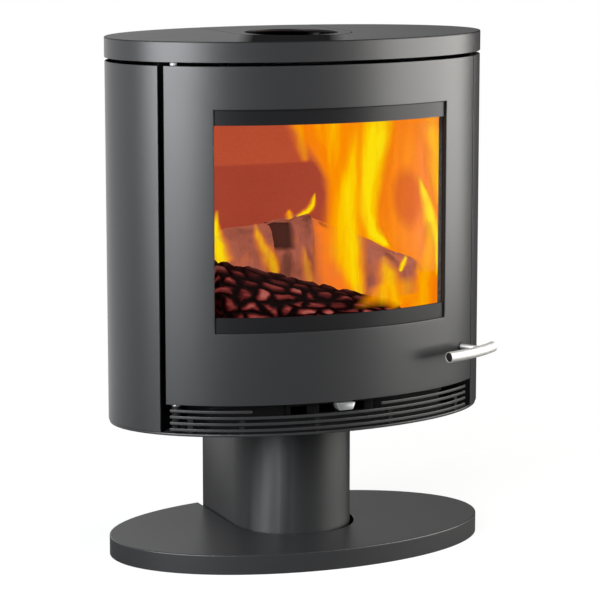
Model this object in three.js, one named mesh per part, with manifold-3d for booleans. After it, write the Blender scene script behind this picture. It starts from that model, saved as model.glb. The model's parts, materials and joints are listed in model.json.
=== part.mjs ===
// Oval wood stove on a pedestal. Millimetres, +Z up, +X to the right of someone who faces the door (-Y side).
// The origin is on the floor, under the middle of the body.
import * as THREE from "three";
import { mergeVertices } from "three/addons/utils/BufferGeometryUtils.js";
import Module from "manifold-3d";

const wasm = await Module();
wasm.setup();

// ---------------------------------------------------------------- driving dimensions
const gap = 0.3; // clearance between pieces that touch
const arcStep = THREE.MathUtils.degToRad(5); // facet step along the ovals

// Ovals, as half width and half depth
const body = { a: 319, b: 190.5 };
const base = { a: 319.5, b: 196 };

// Heights
const overallHeight = 843;
const lidHeight = 32.4;
const lidSlit = 5.6; // shadow slit between the lid and the body
const bodyBottom = 222; // underside of the bottom plate
const bottomPlateThickness = 4;
const grilleHeight = 46; // from the bottom plate to the door
const baseHeight = 32;

// Sheet thicknesses
const lidOverhang = 0.5;
const lidSkin = 5;
const baseSkin = 5;
const panelSheet = 3;
const backSheet = 2;
const postSheet = 3;
const doorSheet = 6;
const fireboxSheet = 4;
const footPlateThickness = 8;

// Top insert and flue, all on one centre
const flueCentreY = 17;
const insertHalfWidth = 98;
const flueOpeningRadius = 76;
const collarRadius = 72;
const collarWall = 3;
const collarHeight = 33;
const collarFlange = 16;
const ledgeWidth = 8;
const ledgeThickness = 4;

// Column and the notch in the base cover
const columnRadius = 101;
const columnCentreY = 27;
const columnBackY = 168;
const columnSheet = 3;
const columnFlange = 6;
const columnDuctGap = 4; // round the flange of the air intake
const columnDoorHalfWidth = 80; // opening in the column's back wall
const columnDoorMargin = 22; // height of back wall left over and under that opening
const columnCoverLap = 10;
const columnCoverSheet = 2;
const notchSideGap = 2.3; // from the column to the notch, at the sides
const notchFrontGap = 12.3; // and in front

// Door
const seamMargin = 46; // from the body's sides to the seams beside the door, along X
const doorGapLeft = 7; // open seam at the hinges
const doorGapRight = 2; // and at the handle
const doorBorderSide = 73; // from the seams to the window
const doorBorderBottom = 115; // door sheet under the window
const doorBorderTop = 67; // and over it
const glassLap = 6; // glass behind the panel, at the sides
const glassLapHigh = 11; // the same, over and under the window
const gasketTape = 3.4;
const tapeEdge = 3; // from the window to the tape
const glassThickness = 4;
const frameDepth = 9.7;
const frameBar = 9;
const framePocket = 3; // room in the frame round the glass
const frameLift = 2; // from the firebox's underside to the frame
const ropeDepth = 7.1;
const ropeWidth = 8;
const ropeMargin = 1; // from the frame's outer edge to the rope

// Hinges
const hingeMargin = 10; // from the door's left edge to the pins
const hingePinRadius = 3.5;
const hingeLugRadius = 7;
const hingeLugHeight = 14;
const hingePinLength = 36;
const hingeWasherHeight = 4;
const hingeBracketThickness = 4;
const hingeBracketReach = 25;

// Handle and latch
const handleMargin = 30.3; // from the door's right edge to the handle's post
const handleLift = 60.4; // from the door's lower edge to the spindle's axis
const handleStandoff = 42; // from the door's face to the bar's axis
const handleLeft = 108;
const handleRight = 38;
const handleRadius = 8.7;
const handleWall = 1.6;
const handleBend = 312; // radius of the bar's bend, which follows the door
const handleSteps = 12; // pieces along the bend
const handleSides = 24;
const spindleRadius = 4;
const bushWall = 1;
const bushFlange = 2.5;
const camInset = 14;
const camThickness = 4;
const camReach = 30;
const camHalfWidth = 5;
const latchNutRadius = 6;
const latchNutHeight = 4;
const keeperInset = 7;
const keeperThickness = 2.5;
const keeperLift = 1.2; // from the top of the cam to the keeper, at rest
const keeperHeight = 18;
const keeperLength = 12;

// Firebox
const fireboxSideMargin = 51; // from the seams beside the door to the firebox's side walls
const fireboxBackInset = 56.5; // back wall of the firebox in front of the body's back
const fireboxCorner = 72; // width and depth of the slanted corners
const airRoomHeight = 53; // from the bottom plate to the firebox
const fireboxHeadroom = 8; // from the firebox to the body's upper edge
const fireboxDoorMargin = 4; // firebox opening outside the window, at the sides
const fireboxDoorSill = 11;
const fireboxDoorLintel = 39;
const ashRoomHeight = 62; // from the firebox's underside to the shelf
const shelfOpening = { sideMargin: 122, frontMargin: 120.5, backMargin: 84 };
const brick = 25;
const lowerCourse = 248.4; // height of the lower back brick and its joint
const baffleDrop = 62; // from the firebox's top to the baffle's underside
const baffleThickness = 22;
const baffleFrontMargin = 130.5; // from the body's front to the baffle
const sideBrickFrontMargin = 102.5;
const grateMargin = 12;
const grateHeight = 16;
const grateSlots = 7;
const grateSlotWidth = 9;
const guardHeight = 30;
const guardSheet = 4;
const guardInset = 50;
const guardMargin = 37; // from the firebox's side walls to the guard's ends
const ashPan = { sideMargin: 97, frontMargin: 65.5, backMargin: 74, height: 44, sheet: 2 };
const lidSupportRadius = 8;
const lidSupportX = 150;
const lidSupportFrontY = -60;
const lidSupportBackY = 70;

// Air control under the firebox
const airBox = { sideMargin: 22, frontMargin: 60.5, backMargin: 34, sheet: 3 };
const airSlots = 3;
const airSlotPitch = 50;
const airSlotWidth = 30;
const airSlotHeight = 14;
const slideHalfWidth = 76;
const slideThickness = 3;
const slideHeight = 28;
const slideDrop = 8; // from the door's lower edge to the slide
const railDepth = 7;
const railLip = 3.5;
const railHeight = 6;
const airWindow = { halfWidth: 60, front: -40, back: 40 }; // from the air box up to the ash pan's room
const leverX = 4;
const leverHalfWidth = 4;
const leverThickness = 5;
const leverFaceInset = 4.5; // end of the lever behind the body's front
const knob = { halfWidth: 15.5, footHalfWidth: 10, height: 11.7, drop: 0.2, inset: 9.5, depth: 15.5 };
const intakeCentreY = 60;
const intakeRadius = 50;
const intakeWall = 3;
const intakeLength = 30;
const intakeFlange = 8;

// Vent grille
const grilleMarginLeft = 11.5; // from the seams beside the door to the ribs' ends
const grilleMarginRight = 15;
const ribPitch = 9.95;
const ribHeight = 4.5;
const ribMargin = 7.7; // from the door down to the top rib
const ribInset = 1;
const ribDepth = 3;
const slotLeftX = -145; // the top rib is missing from here
const slotRightX = 72; // to here, where the air lever travels
const uprightsFromLeft = [26.5, 101.5]; // uprights behind the ribs, from the ribs' left ends
const uprightsFromRight = [23, 168];
const middleUprightX = -40;
const uprightWidth = 8;
const uprightDepth = 5;

// Posts, back panel and heat shield
const postFlange = 18;
const postReach = 56;
const ventRows = 5;
const ventPitch = 14;
const ventHeight = 6;
const ventHalfWidth = 100;
const ventMargin = 40;
const shieldGap = 11;
const shieldSheet = 1.5;
const shieldMarginSide = 30;
const shieldMarginBottom = 21; // from the firebox's ends to the shield's
const shieldMarginTop = 12;
const shieldTab = 20;

// Fasteners
const boltRadius = 5;
const boltHeadRadius = 9;
const boltHeadHeight = 6;
const columnBoltMargin = 29; // from the column's sides to the bolts
const columnBoltFrontY = -10;
const columnBoltBackY = 130;
const screwRadius = 2;
const screwHeadRadius = 4;
const screwHeadHeight = 2.5;
const clipMargin = 56; // from the sides of the glass to the clips' ends
const clipSheet = 2;
const clipGrip = 5; // how far a clip reaches over the glass

// Logs, each as its two ends. The middle of an end lies across from the hearth's middle, as a share of
// its half width, and back from the guard. That place, the end's half depth and half height, and what
// it is lifted off the hearth are shares of the hearth's depth.
const logs = {
  front_log: [
    { across: -0.8926, back: 0.329, depth: 0.2156, height: 0.257, lift: 0 },
    { across: 0.7784, back: 0.3586, depth: 0.1161, height: 0.0705, lift: 0 },
  ],
  rear_log_left: [
    { across: -0.6642, back: 0.7815, depth: 0.1741, height: 0.3068, lift: 0 },
    { across: 0.1557, back: 0.7898, depth: 0.1824, height: 0.3524, lift: 0 },
  ],
  rear_log_right: [
    { across: 0.2387, back: 0.8275, depth: 0.166, height: 0.3483, lift: 0 },
    { across: 0.8926, back: 0.3752, depth: 0.1244, height: 0.1368, lift: 0.1607 },
  ],
};
const logSides = 16; // a multiple of four, so that an edge lies on the hearth

// ---------------------------------------------------------------- derived levels
const lidBottom = overallHeight - lidHeight;
const bodyTop = lidBottom - lidSlit;
const lidCeiling = overallHeight - lidSkin;
const bodyFloor = bodyBottom + bottomPlateThickness; // upper side of the bottom plate
const footTop = footPlateThickness;
const columnTop = bodyBottom - gap;
const doorBottom = bodyFloor + grilleHeight;
const windowBottom = doorBottom + doorBorderBottom;
const windowTop = bodyTop - doorBorderTop;
const glassBottom = windowBottom - glassLapHigh;
const glassTop = windowTop + glassLapHigh;
const handleHeight = doorBottom + handleLift;
const fireboxBottom = bodyFloor + airRoomHeight;
const frameBottom = fireboxBottom + frameLift;
const frameTop = glassTop + framePocket + frameBar + ropeWidth + ropeMargin;
const fireboxTop = bodyTop - fireboxHeadroom;
const fireboxDoorBottom = fireboxBottom + fireboxDoorSill;
const fireboxDoorTop = fireboxTop - fireboxDoorLintel;
const shelfHeight = fireboxBottom + ashRoomHeight;
const shelfTop = shelfHeight + fireboxSheet;
const hearthTop = shelfTop + gap + brick;
const courseHeight = hearthTop + gap + lowerCourse; // underside of the upper back brick
const baffleBottom = fireboxTop - baffleDrop;
const shieldBottom = fireboxBottom + shieldMarginBottom;
const shieldTop = fireboxTop - shieldMarginTop;
const slideTop = doorBottom - slideDrop;
const slideBottom = slideTop - slideHeight;
const leverBottom = slideTop - leverThickness;
const knobBottom = leverBottom - knob.drop;
const knobTop = knobBottom + knob.height;
const topRibHeight = doorBottom - ribMargin - ribHeight; // underside of the top rib
const ribs = 1 + Math.floor((topRibHeight - bodyFloor - gap) / ribPitch);

// Planes across the depth, from the front or the back of the body
const fireboxBackY = body.b - fireboxBackInset;
const fireboxCornerY = fireboxBackY - fireboxCorner;
const shelfFrontY = -body.b + shelfOpening.frontMargin;
const shelfBackY = fireboxBackY - shelfOpening.backMargin;
const baffleFrontY = -body.b + baffleFrontMargin;
const sideBrickFrontY = -body.b + sideBrickFrontMargin;
const panFrontY = -body.b + ashPan.frontMargin;
const panBackY = fireboxBackY - ashPan.backMargin;
const airBoxFrontY = -body.b + airBox.frontMargin;
const airBoxBackY = fireboxBackY - airBox.backMargin;
const leverFaceY = -body.b + leverFaceInset;
const knobBackY = -body.b + knob.inset;
const knobFrontY = knobBackY - knob.depth;

// Insets behind the door's face
const hingeInset = lidSkin + hingeLugRadius; // the upper hinge bracket just fits under the lid
const tapeInset = doorSheet + gap;
const glassInset = tapeInset + gasketTape + gap;
const ropeInset = tapeInset + frameDepth + gap;
const fireboxInset = ropeInset + ropeDepth + 2 * gap; // the rope seals against the firebox's front

// Places across the width, on the body's face
const panelSeamX = body.a - seamMargin; // front edges of the side panels
const doorLeftX = doorGapLeft - panelSeamX;
const doorRightX = panelSeamX - doorGapRight;
const hingeSurfaceX = doorLeftX + hingeMargin; // the pins stand behind this point of the door's face
const handleSurfaceX = doorRightX - handleMargin;
const windowHalfWidth = panelSeamX - doorBorderSide;
const glassHalfWidth = windowHalfWidth + glassLap;
const grilleLeftX = grilleMarginLeft - panelSeamX;
const grilleRightX = panelSeamX - grilleMarginRight;
const fireboxHalfWidth = panelSeamX - fireboxSideMargin;
const fireboxBackHalfWidth = fireboxHalfWidth - fireboxCorner;
const fireboxDoorHalfWidth = windowHalfWidth + fireboxDoorMargin;
const guardHalfWidth = fireboxHalfWidth - guardMargin;
const shelfHalfWidth = fireboxHalfWidth - shelfOpening.sideMargin; // of the opening in the shelf
const panHalfWidth = fireboxHalfWidth - ashPan.sideMargin;
const airBoxHalfWidth = fireboxHalfWidth - airBox.sideMargin;
const clipHalfLength = glassHalfWidth - clipMargin;
const shieldHalfWidth = fireboxBackHalfWidth - shieldMarginSide;
const backSeamX = fireboxBackHalfWidth; // the back panel is as wide as the firebox's back wall
const grilleUprights = [
  ...uprightsFromLeft.map((along) => grilleLeftX + along),
  middleUprightX,
  ...uprightsFromRight.map((along) => grilleRightX - along),
];

// The column, and the notch in the base cover round it
const columnDuctRadius = intakeRadius + intakeFlange + columnDuctGap;
const columnBoltX = columnRadius - columnBoltMargin;
const notchHalfWidth = columnRadius + notchSideGap;
const notchCentreY = columnCentreY - columnRadius - notchFrontGap + notchHalfWidth;

// ---------------------------------------------------------------- geometry helpers
const groups = { root: new THREE.Group(), door: new THREE.Group() };
const stove = new THREE.Group();
stove.add(groups.root, groups.door);

const finishes = {
  blackPaint: { color: 0x3d3e40, roughness: 0.45, metalness: 0.4 },
  darkSteel: { color: 0x1b1b1c, roughness: 0.6, metalness: 0.4 },
  brushedSteel: { color: 0xd8d6d2, roughness: 0.3, metalness: 1 },
  castIron: { color: 0x2a2827, roughness: 0.7, metalness: 0.5 },
  vermiculite: { color: 0xb0644a, roughness: 0.95, metalness: 0 },
  glass: { color: 0x40352c, roughness: 0.05, metalness: 0, transparent: true, opacity: 0.35 },
  rope: { color: 0x4a4846, roughness: 1, metalness: 0 },
  charredWood: { color: 0x3a1712, roughness: 0.95, metalness: 0 },
  zincSteel: { color: 0x9a9a98, roughness: 0.4, metalness: 0.9 },
};

// A three.js geometry as a solid that can be cut and joined.
function solid(geometry) {
  const bare = geometry.index ? geometry.toNonIndexed() : geometry;
  const points = new THREE.BufferGeometry().setAttribute("position", bare.getAttribute("position"));
  const merged = mergeVertices(points, 1e-4);
  return new wasm.Manifold(
    new wasm.Mesh({
      numProp: 3,
      vertProperties: new Float32Array(merged.attributes.position.array),
      triVerts: new Uint32Array(merged.index.array),
    }),
  );
}

// The solid as a named mesh in the group of its moving body.
function piece(name, shape, finish, group = groups.root) {
  const mesh = shape.getMesh();
  const geometry = new THREE.BufferGeometry();
  geometry.setAttribute("position", new THREE.BufferAttribute(new Float32Array(mesh.vertProperties), 3));
  geometry.setIndex(new THREE.BufferAttribute(new Uint32Array(mesh.triVerts), 1));
  geometry.computeVertexNormals();
  const made = new THREE.Mesh(geometry, new THREE.MeshStandardMaterial(finish));
  made.name = name;
  group.add(made);
  return made;
}

const cut = (shape, ...tools) => tools.reduce((left, tool) => left.subtract(tool), shape);
const join = (...shapes) => shapes.reduce((sum, shape) => sum.add(shape));

// A polygon of [x, y] points pulled up from z0 to z1.
function prism(points, z0, z1) {
  const shape = new THREE.Shape(points.map(([x, y]) => new THREE.Vector2(x, y)));
  const geometry = new THREE.ExtrudeGeometry(shape, { depth: z1 - z0, bevelEnabled: false });
  return solid(geometry.translate(0, 0, z0));
}

function block(x0, x1, y0, y1, z0, z1) {
  const geometry = new THREE.BoxGeometry(x1 - x0, y1 - y0, z1 - z0);
  return solid(geometry.translate((x0 + x1) / 2, (y0 + y1) / 2, (z0 + z1) / 2));
}

// A round bar, or a cone, from one point to another.
function bar(from, to, radius, endRadius = radius, sides = 14) {
  const start = new THREE.Vector3(...from);
  const along = new THREE.Vector3(...to).sub(start);
  const geometry = new THREE.CylinderGeometry(endRadius, radius, along.length(), sides);
  const turn = new THREE.Quaternion().setFromUnitVectors(
    new THREE.Vector3(0, 1, 0),
    along.clone().normalize(),
  );
  return solid(geometry.applyQuaternion(turn).translate(...start.addScaledVector(along, 0.5).toArray()));
}

// An upright round bar.
const pin = (x, y, z0, z1, radius, sides = 14) => bar([x, y, z0], [x, y, z1], radius, radius, sides);

// Point of an oval at angle t, counted from the front towards +X, and moved in along the normal by inset.
function ovalPoint(oval, inset, t) {
  const nx = oval.b * Math.sin(t);
  const ny = -oval.a * Math.cos(t);
  const length = Math.hypot(nx, ny);
  return [
    oval.a * Math.sin(t) - (inset * nx) / length,
    -oval.b * Math.cos(t) - (inset * ny) / length,
  ];
}

// The outward normal of an oval at angle t.
function ovalNormal(oval, t) {
  const nx = oval.b * Math.sin(t);
  const ny = -oval.a * Math.cos(t);
  const length = Math.hypot(nx, ny);
  return [nx / length, ny / length];
}

const frontAngle = (x) => Math.asin(x / body.a);
const backAngle = (x) => Math.PI - Math.asin(x / body.a);

// Angles from t0 to t1 on the common grid, so that nested sheets have parallel facets.
function anglesBetween(t0, t1) {
  const inner = [];
  for (let k = Math.floor(t0 / arcStep) + 1; k * arcStep < t1 - arcStep / 10; k++) {
    if (k * arcStep > t0 + arcStep / 10) inner.push(k * arcStep);
  }
  return [t0, ...inner, t1];
}

function oval(shape, inset, z0, z1) {
  const angles = anglesBetween(0, 2 * Math.PI).slice(0, -1);
  return prism(angles.map((t) => ovalPoint(shape, inset, t)), z0, z1);
}

// A curved sheet that follows the body from angle t0 to t1, between two insets.
function sheet(inset0, inset1, t0, t1, z0, z1) {
  const angles = anglesBetween(t0, t1);
  const outside = angles.map((t) => ovalPoint(body, inset0, t));
  const inside = angles.map((t) => ovalPoint(body, inset1, t)).reverse();
  return prism([...outside, ...inside], z0, z1);
}

const frontSheet = (inset0, inset1, x0, x1, z0, z1) =>
  sheet(inset0, inset1, frontAngle(x0), frontAngle(x1), z0, z1);

// A U open to the back: straight sides and a half-round front.
function uShape(halfWidth, centreY, backY, z0, z1) {
  const steps = Math.round(Math.PI / arcStep / 2) * 2;
  const points = [[-halfWidth, backY]];
  for (let k = 0; k <= steps; k++) {
    const t = Math.PI + (Math.PI * k) / steps;
    points.push([halfWidth * Math.cos(t), centreY + halfWidth * Math.sin(t)]);
  }
  points.push([halfWidth, backY]);
  return prism(points, z0, z1);
}

// A convex polygon moved in by d on every side; its points run counterclockwise.
function shrink(points, d) {
  const edges = points.map((p, i) => {
    const q = points[(i + 1) % points.length];
    const length = Math.hypot(q[0] - p[0], q[1] - p[1]);
    const n = [-(q[1] - p[1]) / length, (q[0] - p[0]) / length];
    return { n, c: n[0] * p[0] + n[1] * p[1] + d };
  });
  return edges.map((e, i) => {
    const f = edges[(i + edges.length - 1) % edges.length];
    const det = e.n[0] * f.n[1] - e.n[1] * f.n[0];
    return [(e.c * f.n[1] - f.c * e.n[1]) / det, (e.n[0] * f.c - f.n[0] * e.c) / det];
  });
}

// A hexagon bolt or a round-head screw: head at the start point, shank along the direction.
function fastener(start, direction, headRadius, headHeight, radius, length, sides) {
  const d = new THREE.Vector3(...direction).normalize();
  const at = (s) => new THREE.Vector3(...start).addScaledVector(d, s).toArray();
  return join(
    bar(at(-headHeight), at(0), headRadius, headRadius, sides),
    bar(at(-headHeight / 2), at(length), radius, radius, 12),
  );
}

// ---------------------------------------------------------------- base and column
const columnBolts = [-columnBoltX, columnBoltX].flatMap((x) =>
  [columnBoltFrontY, columnBoltBackY].map((y) => [x, y]),
);

function makeBase() {
  const outline = cut(
    oval(base, 0, 0, baseHeight),
    uShape(notchHalfWidth, notchCentreY, base.b * 2, -1, baseHeight + 1),
  );
  const pocket = cut(
    oval(base, baseSkin, -1, baseHeight - baseSkin),
    uShape(notchHalfWidth + baseSkin, notchCentreY, base.b * 2, -2, baseHeight),
  );
  const footRoom = oval(base, baseSkin, -1, footTop + gap);
  piece("base_cover", cut(outline, pocket, footRoom), finishes.blackPaint);
}

// The column is a weldment: foot plate, bent sheet and top flange.
function makeColumn() {
  const outside = uShape(columnRadius, columnCentreY, columnBackY, 0, columnTop);
  const inside = uShape(
    columnRadius - columnSheet,
    columnCentreY,
    columnBackY - columnSheet,
    footTop,
    columnTop - columnFlange,
  );
  const doorway = block(
    -columnDoorHalfWidth,
    columnDoorHalfWidth,
    columnBackY - columnSheet - 1,
    columnBackY + 1,
    footTop + columnDoorMargin,
    columnTop - columnDoorMargin,
  );
  const duct = pin(0, intakeCentreY, footTop + 1, columnTop + 1, columnDuctRadius, 24);
  const holes = columnBolts.map(([x, y]) => pin(x, y, footTop + 1, columnTop + 1, boltRadius + gap, 12));
  const footPlate = oval(base, baseSkin + gap, 0, footTop);
  piece(
    "column",
    join(footPlate, cut(outside, inside, doorway, duct, ...holes)),
    finishes.blackPaint,
  );

  const coverHalfWidth = columnDoorHalfWidth + columnCoverLap;
  const coverFront = columnBackY + gap;
  const cover = block(
    -coverHalfWidth,
    coverHalfWidth,
    coverFront,
    coverFront + columnCoverSheet,
    footTop + columnDoorMargin - columnCoverLap,
    columnTop - columnDoorMargin + columnCoverLap,
  );
  const middle = (footTop + columnTop) / 2;
  const inlet = bar(
    [0, columnBackY - 1, middle],
    [0, coverFront + columnCoverSheet + 1, middle],
    intakeRadius + gap,
    intakeRadius + gap,
    24,
  );
  piece("column_back_cover", cut(cover, inlet), finishes.blackPaint);

  columnBolts.forEach(([x, y], i) => {
    const bolt = fastener(
      [x, y, columnTop - columnFlange - gap],
      [0, 0, 1],
      boltHeadRadius,
      boltHeadHeight,
      boltRadius,
      columnFlange + bottomPlateThickness,
      6,
    );
    piece(`column_bolt_${i + 1}`, bolt, finishes.zincSteel);
  });
}

// ---------------------------------------------------------------- body shell
const frontPostAngle = frontAngle(panelSeamX) - gap / body.a;
const webAngle = postSheet / Math.hypot(body.a, body.b);

// An angle post behind a seam at angle t: a flange along the sheet and a web towards the firebox.
function post(t, flangeEnd, reach, top) {
  const inset = panelSheet + gap;
  const side = Math.sign(flangeEnd - t);
  const ordered = (u, v) => (u < v ? [u, v] : [v, u]);
  const flange = sheet(inset, inset + postSheet, ...ordered(t, flangeEnd), bodyFloor + gap, bodyTop);
  const web = sheet(
    lidSkin + 2 * gap,
    reach,
    ...ordered(t, t + side * webAngle),
    bodyFloor + gap,
    top,
  );
  return join(flange, web);
}

function makeShell() {
  const boltHoles = columnBolts.map(([x, y]) =>
    pin(x, y, bodyBottom - 1, bodyFloor + 1, boltRadius + gap, 12),
  );
  const airHole = pin(0, intakeCentreY, bodyBottom - 1, bodyFloor + 1, intakeRadius - intakeWall, 24);
  piece(
    "bottom_plate",
    cut(oval(body, panelSheet / 2, bodyBottom, bodyFloor), ...boltHoles, airHole),
    finishes.blackPaint,
  );

  const z0 = bodyFloor + gap;
  const rearAngle = backAngle(backSeamX) - gap / body.a;
  const seam = frontAngle(panelSeamX);
  piece("left_side_panel", sheet(0, panelSheet, -rearAngle, -seam, z0, bodyTop), finishes.blackPaint);
  piece("right_side_panel", sheet(0, panelSheet, seam, rearAngle, z0, bodyTop), finishes.blackPaint);

  const vents = [];
  for (let row = 0; row < ventRows; row++) {
    for (const bottom of [z0 + ventMargin + row * ventPitch, bodyTop - ventMargin - row * ventPitch]) {
      vents.push(block(-ventHalfWidth, ventHalfWidth, 0, body.b * 2, bottom, bottom + ventHeight));
    }
  }
  const back = sheet(
    panelSheet - backSheet,
    panelSheet,
    backAngle(backSeamX),
    2 * Math.PI - backAngle(backSeamX),
    z0,
    bodyTop,
  );
  piece("back_panel", cut(back, ...vents), finishes.blackPaint);

  const flangeAngle = postFlange / body.b;
  const frontEnd = frontPostAngle + flangeAngle;
  piece(
    "left_front_post",
    post(-frontPostAngle, -frontEnd, postReach, lidBottom),
    finishes.darkSteel,
  );
  piece("right_front_post", post(frontPostAngle, frontEnd, postReach, lidBottom), finishes.darkSteel);
  const rearPostAngle = backAngle(backSeamX) + flangeAngle / 4;
  const rearReach = body.b - fireboxBackY;
  for (const [name, side] of [["left_rear_post", -1], ["right_rear_post", 1]]) {
    const angle = post(
      side * rearPostAngle,
      side * (rearPostAngle - flangeAngle),
      rearReach / 2,
      bodyTop,
    );
    piece(name, angle, finishes.darkSteel);
  }
}

// ---------------------------------------------------------------- vent grille
function makeGrille() {
  const inner = ribInset + ribDepth;
  const bars = [];
  for (let k = 0; k < ribs; k++) {
    const z = topRibHeight - k * ribPitch;
    const spans = k === 0
      ? [[grilleLeftX, slotLeftX], [slotRightX, grilleRightX]]
      : [[grilleLeftX, grilleRightX]];
    for (const [x0, x1] of spans) bars.push(frontSheet(ribInset, inner, x0, x1, z, z + ribHeight));
  }
  for (const x of grilleUprights) {
    const inSlot = x > slotLeftX && x < slotRightX;
    const top = topRibHeight + ribHeight - (inSlot ? ribPitch : 0);
    bars.push(
      frontSheet(
        inner - ribDepth / 2,
        inner + uprightDepth,
        x - uprightWidth / 2,
        x + uprightWidth / 2,
        bodyFloor + gap,
        top,
      ),
    );
  }
  piece("vent_grille", join(...bars), finishes.blackPaint);
}

// ---------------------------------------------------------------- air control
function airSlotTools(y0, y1, z0, z1) {
  const tools = [];
  for (let k = 0; k < airSlots; k++) {
    const x = (k - (airSlots - 1) / 2) * airSlotPitch;
    tools.push(block(x - airSlotWidth / 2, x + airSlotWidth / 2, y0, y1, z0, z1));
  }
  return tools;
}

function makeAirControl() {
  const floor = bodyFloor + gap;
  const ceiling = fireboxBottom - gap;
  const slotBottom = slideBottom + (slideTop - slideBottom - airSlotHeight) / 2;
  const slotTop = slotBottom + airSlotHeight;
  const walls = cut(
    block(-airBoxHalfWidth, airBoxHalfWidth, airBoxFrontY, airBoxBackY, floor, ceiling),
    block(
      -airBoxHalfWidth + airBox.sheet,
      airBoxHalfWidth - airBox.sheet,
      airBoxFrontY + airBox.sheet,
      airBoxBackY - airBox.sheet,
      floor - 1,
      ceiling + 1,
    ),
    ...airSlotTools(airBoxFrontY - 1, airBoxFrontY + airBox.sheet + 1, slotBottom, slotTop),
  );
  const slideBack = airBoxFrontY - gap;
  const slideFront = slideBack - slideThickness;
  const slide = cut(
    block(leverX - slideHalfWidth, leverX + slideHalfWidth, slideFront, slideBack, slideBottom, slideTop),
    ...airSlotTools(slideFront - 1, slideBack + 1, slotBottom, slotTop),
  );
  const railFront = slideFront - railDepth + slideThickness;
  const lowerRail = cut(
    block(
      -airBoxHalfWidth,
      airBoxHalfWidth,
      railFront,
      airBoxFrontY + airBox.sheet / 2,
      floor,
      slideBottom + railLip,
    ),
    block(
      -airBoxHalfWidth - 1,
      airBoxHalfWidth + 1,
      slideFront - gap,
      airBoxFrontY,
      slideBottom - gap,
      slideBottom + railLip + 1,
    ),
  );
  const upperRail = block(
    -airBoxHalfWidth,
    airBoxHalfWidth,
    railFront,
    airBoxFrontY + airBox.sheet / 2,
    slideTop + gap,
    slideTop + gap + railHeight,
  );
  piece("air_box", join(walls, lowerRail, upperRail), finishes.darkSteel);

  const lever = block(
    leverX - leverHalfWidth,
    leverX + leverHalfWidth,
    leverFaceY,
    slideBack,
    leverBottom,
    leverBottom + leverThickness,
  );
  piece("air_slide", join(slide, lever), finishes.darkSteel);

  const corner = (knob.halfWidth - knob.footHalfWidth) / 2;
  const face = new THREE.Shape();
  face.moveTo(-knob.halfWidth, knobTop);
  face.lineTo(-knob.halfWidth, knobTop - corner);
  face.quadraticCurveTo(-knob.halfWidth + corner, knobBottom, -knob.footHalfWidth, knobBottom);
  face.lineTo(knob.footHalfWidth, knobBottom);
  face.quadraticCurveTo(knob.halfWidth - corner, knobBottom, knob.halfWidth, knobTop - corner);
  face.lineTo(knob.halfWidth, knobTop);
  const knobBody = new THREE.ExtrudeGeometry(face, {
    depth: knobBackY - knobFrontY,
    bevelEnabled: false,
    curveSegments: 5,
  });
  knobBody.rotateX(Math.PI / 2).translate(leverX, knobBackY, 0);
  const socket = block(
    leverX - leverHalfWidth - gap,
    leverX + leverHalfWidth + gap,
    leverFaceY - gap,
    knobBackY + 1,
    leverBottom - gap,
    leverBottom + leverThickness + gap,
  );
  piece("lever_knob", cut(solid(knobBody), socket), finishes.brushedSteel);

  const spigotTop = bodyBottom - gap;
  const spigot = cut(
    join(
      pin(0, intakeCentreY, spigotTop - intakeLength, spigotTop, intakeRadius, 24),
      pin(0, intakeCentreY, spigotTop - intakeWall, spigotTop, intakeRadius + intakeFlange, 24),
    ),
    pin(0, intakeCentreY, spigotTop - intakeLength - 1, spigotTop + 1, intakeRadius - intakeWall, 24),
  );
  piece("air_intake_spigot", spigot, finishes.darkSteel);
}

// ---------------------------------------------------------------- firebox
// Corner points of the firebox's plan behind the front arc, moved in by an inset, for the right side (+X).
function planCorners(inset) {
  const run = [fireboxBackHalfWidth - fireboxHalfWidth, fireboxBackY - fireboxCornerY];
  const length = Math.hypot(...run);
  const normal = [run[1] / length, -run[0] / length]; // out through the slanted corner wall
  const onSlant = normal[0] * fireboxHalfWidth + normal[1] * fireboxCornerY - inset;
  const sideX = fireboxHalfWidth - inset;
  const backY = fireboxBackY - inset;
  return {
    side: [sideX, (onSlant - normal[0] * sideX) / normal[1]],
    back: [(onSlant - normal[1] * backY) / normal[0], backY],
  };
}

const mirrored = ([x, y]) => [-x, y];

function fireboxPlan(inset, z0, z1) {
  const { side, back } = planCorners(inset);
  // The x on the body's face whose normal meets the side wall, found by halving.
  let [low, high] = [0, body.a * 0.95];
  for (let k = 0; k < 40; k++) {
    const middle = (low + high) / 2;
    if (ovalPoint(body, fireboxInset + inset, frontAngle(middle))[0] < side[0]) low = middle;
    else high = middle;
  }
  const front = anglesBetween(-frontAngle(low), frontAngle(low)).map((t) =>
    ovalPoint(body, fireboxInset + inset, t),
  );
  return prism([...front, side, back, mirrored(back), mirrored(side)], z0, z1);
}

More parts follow.
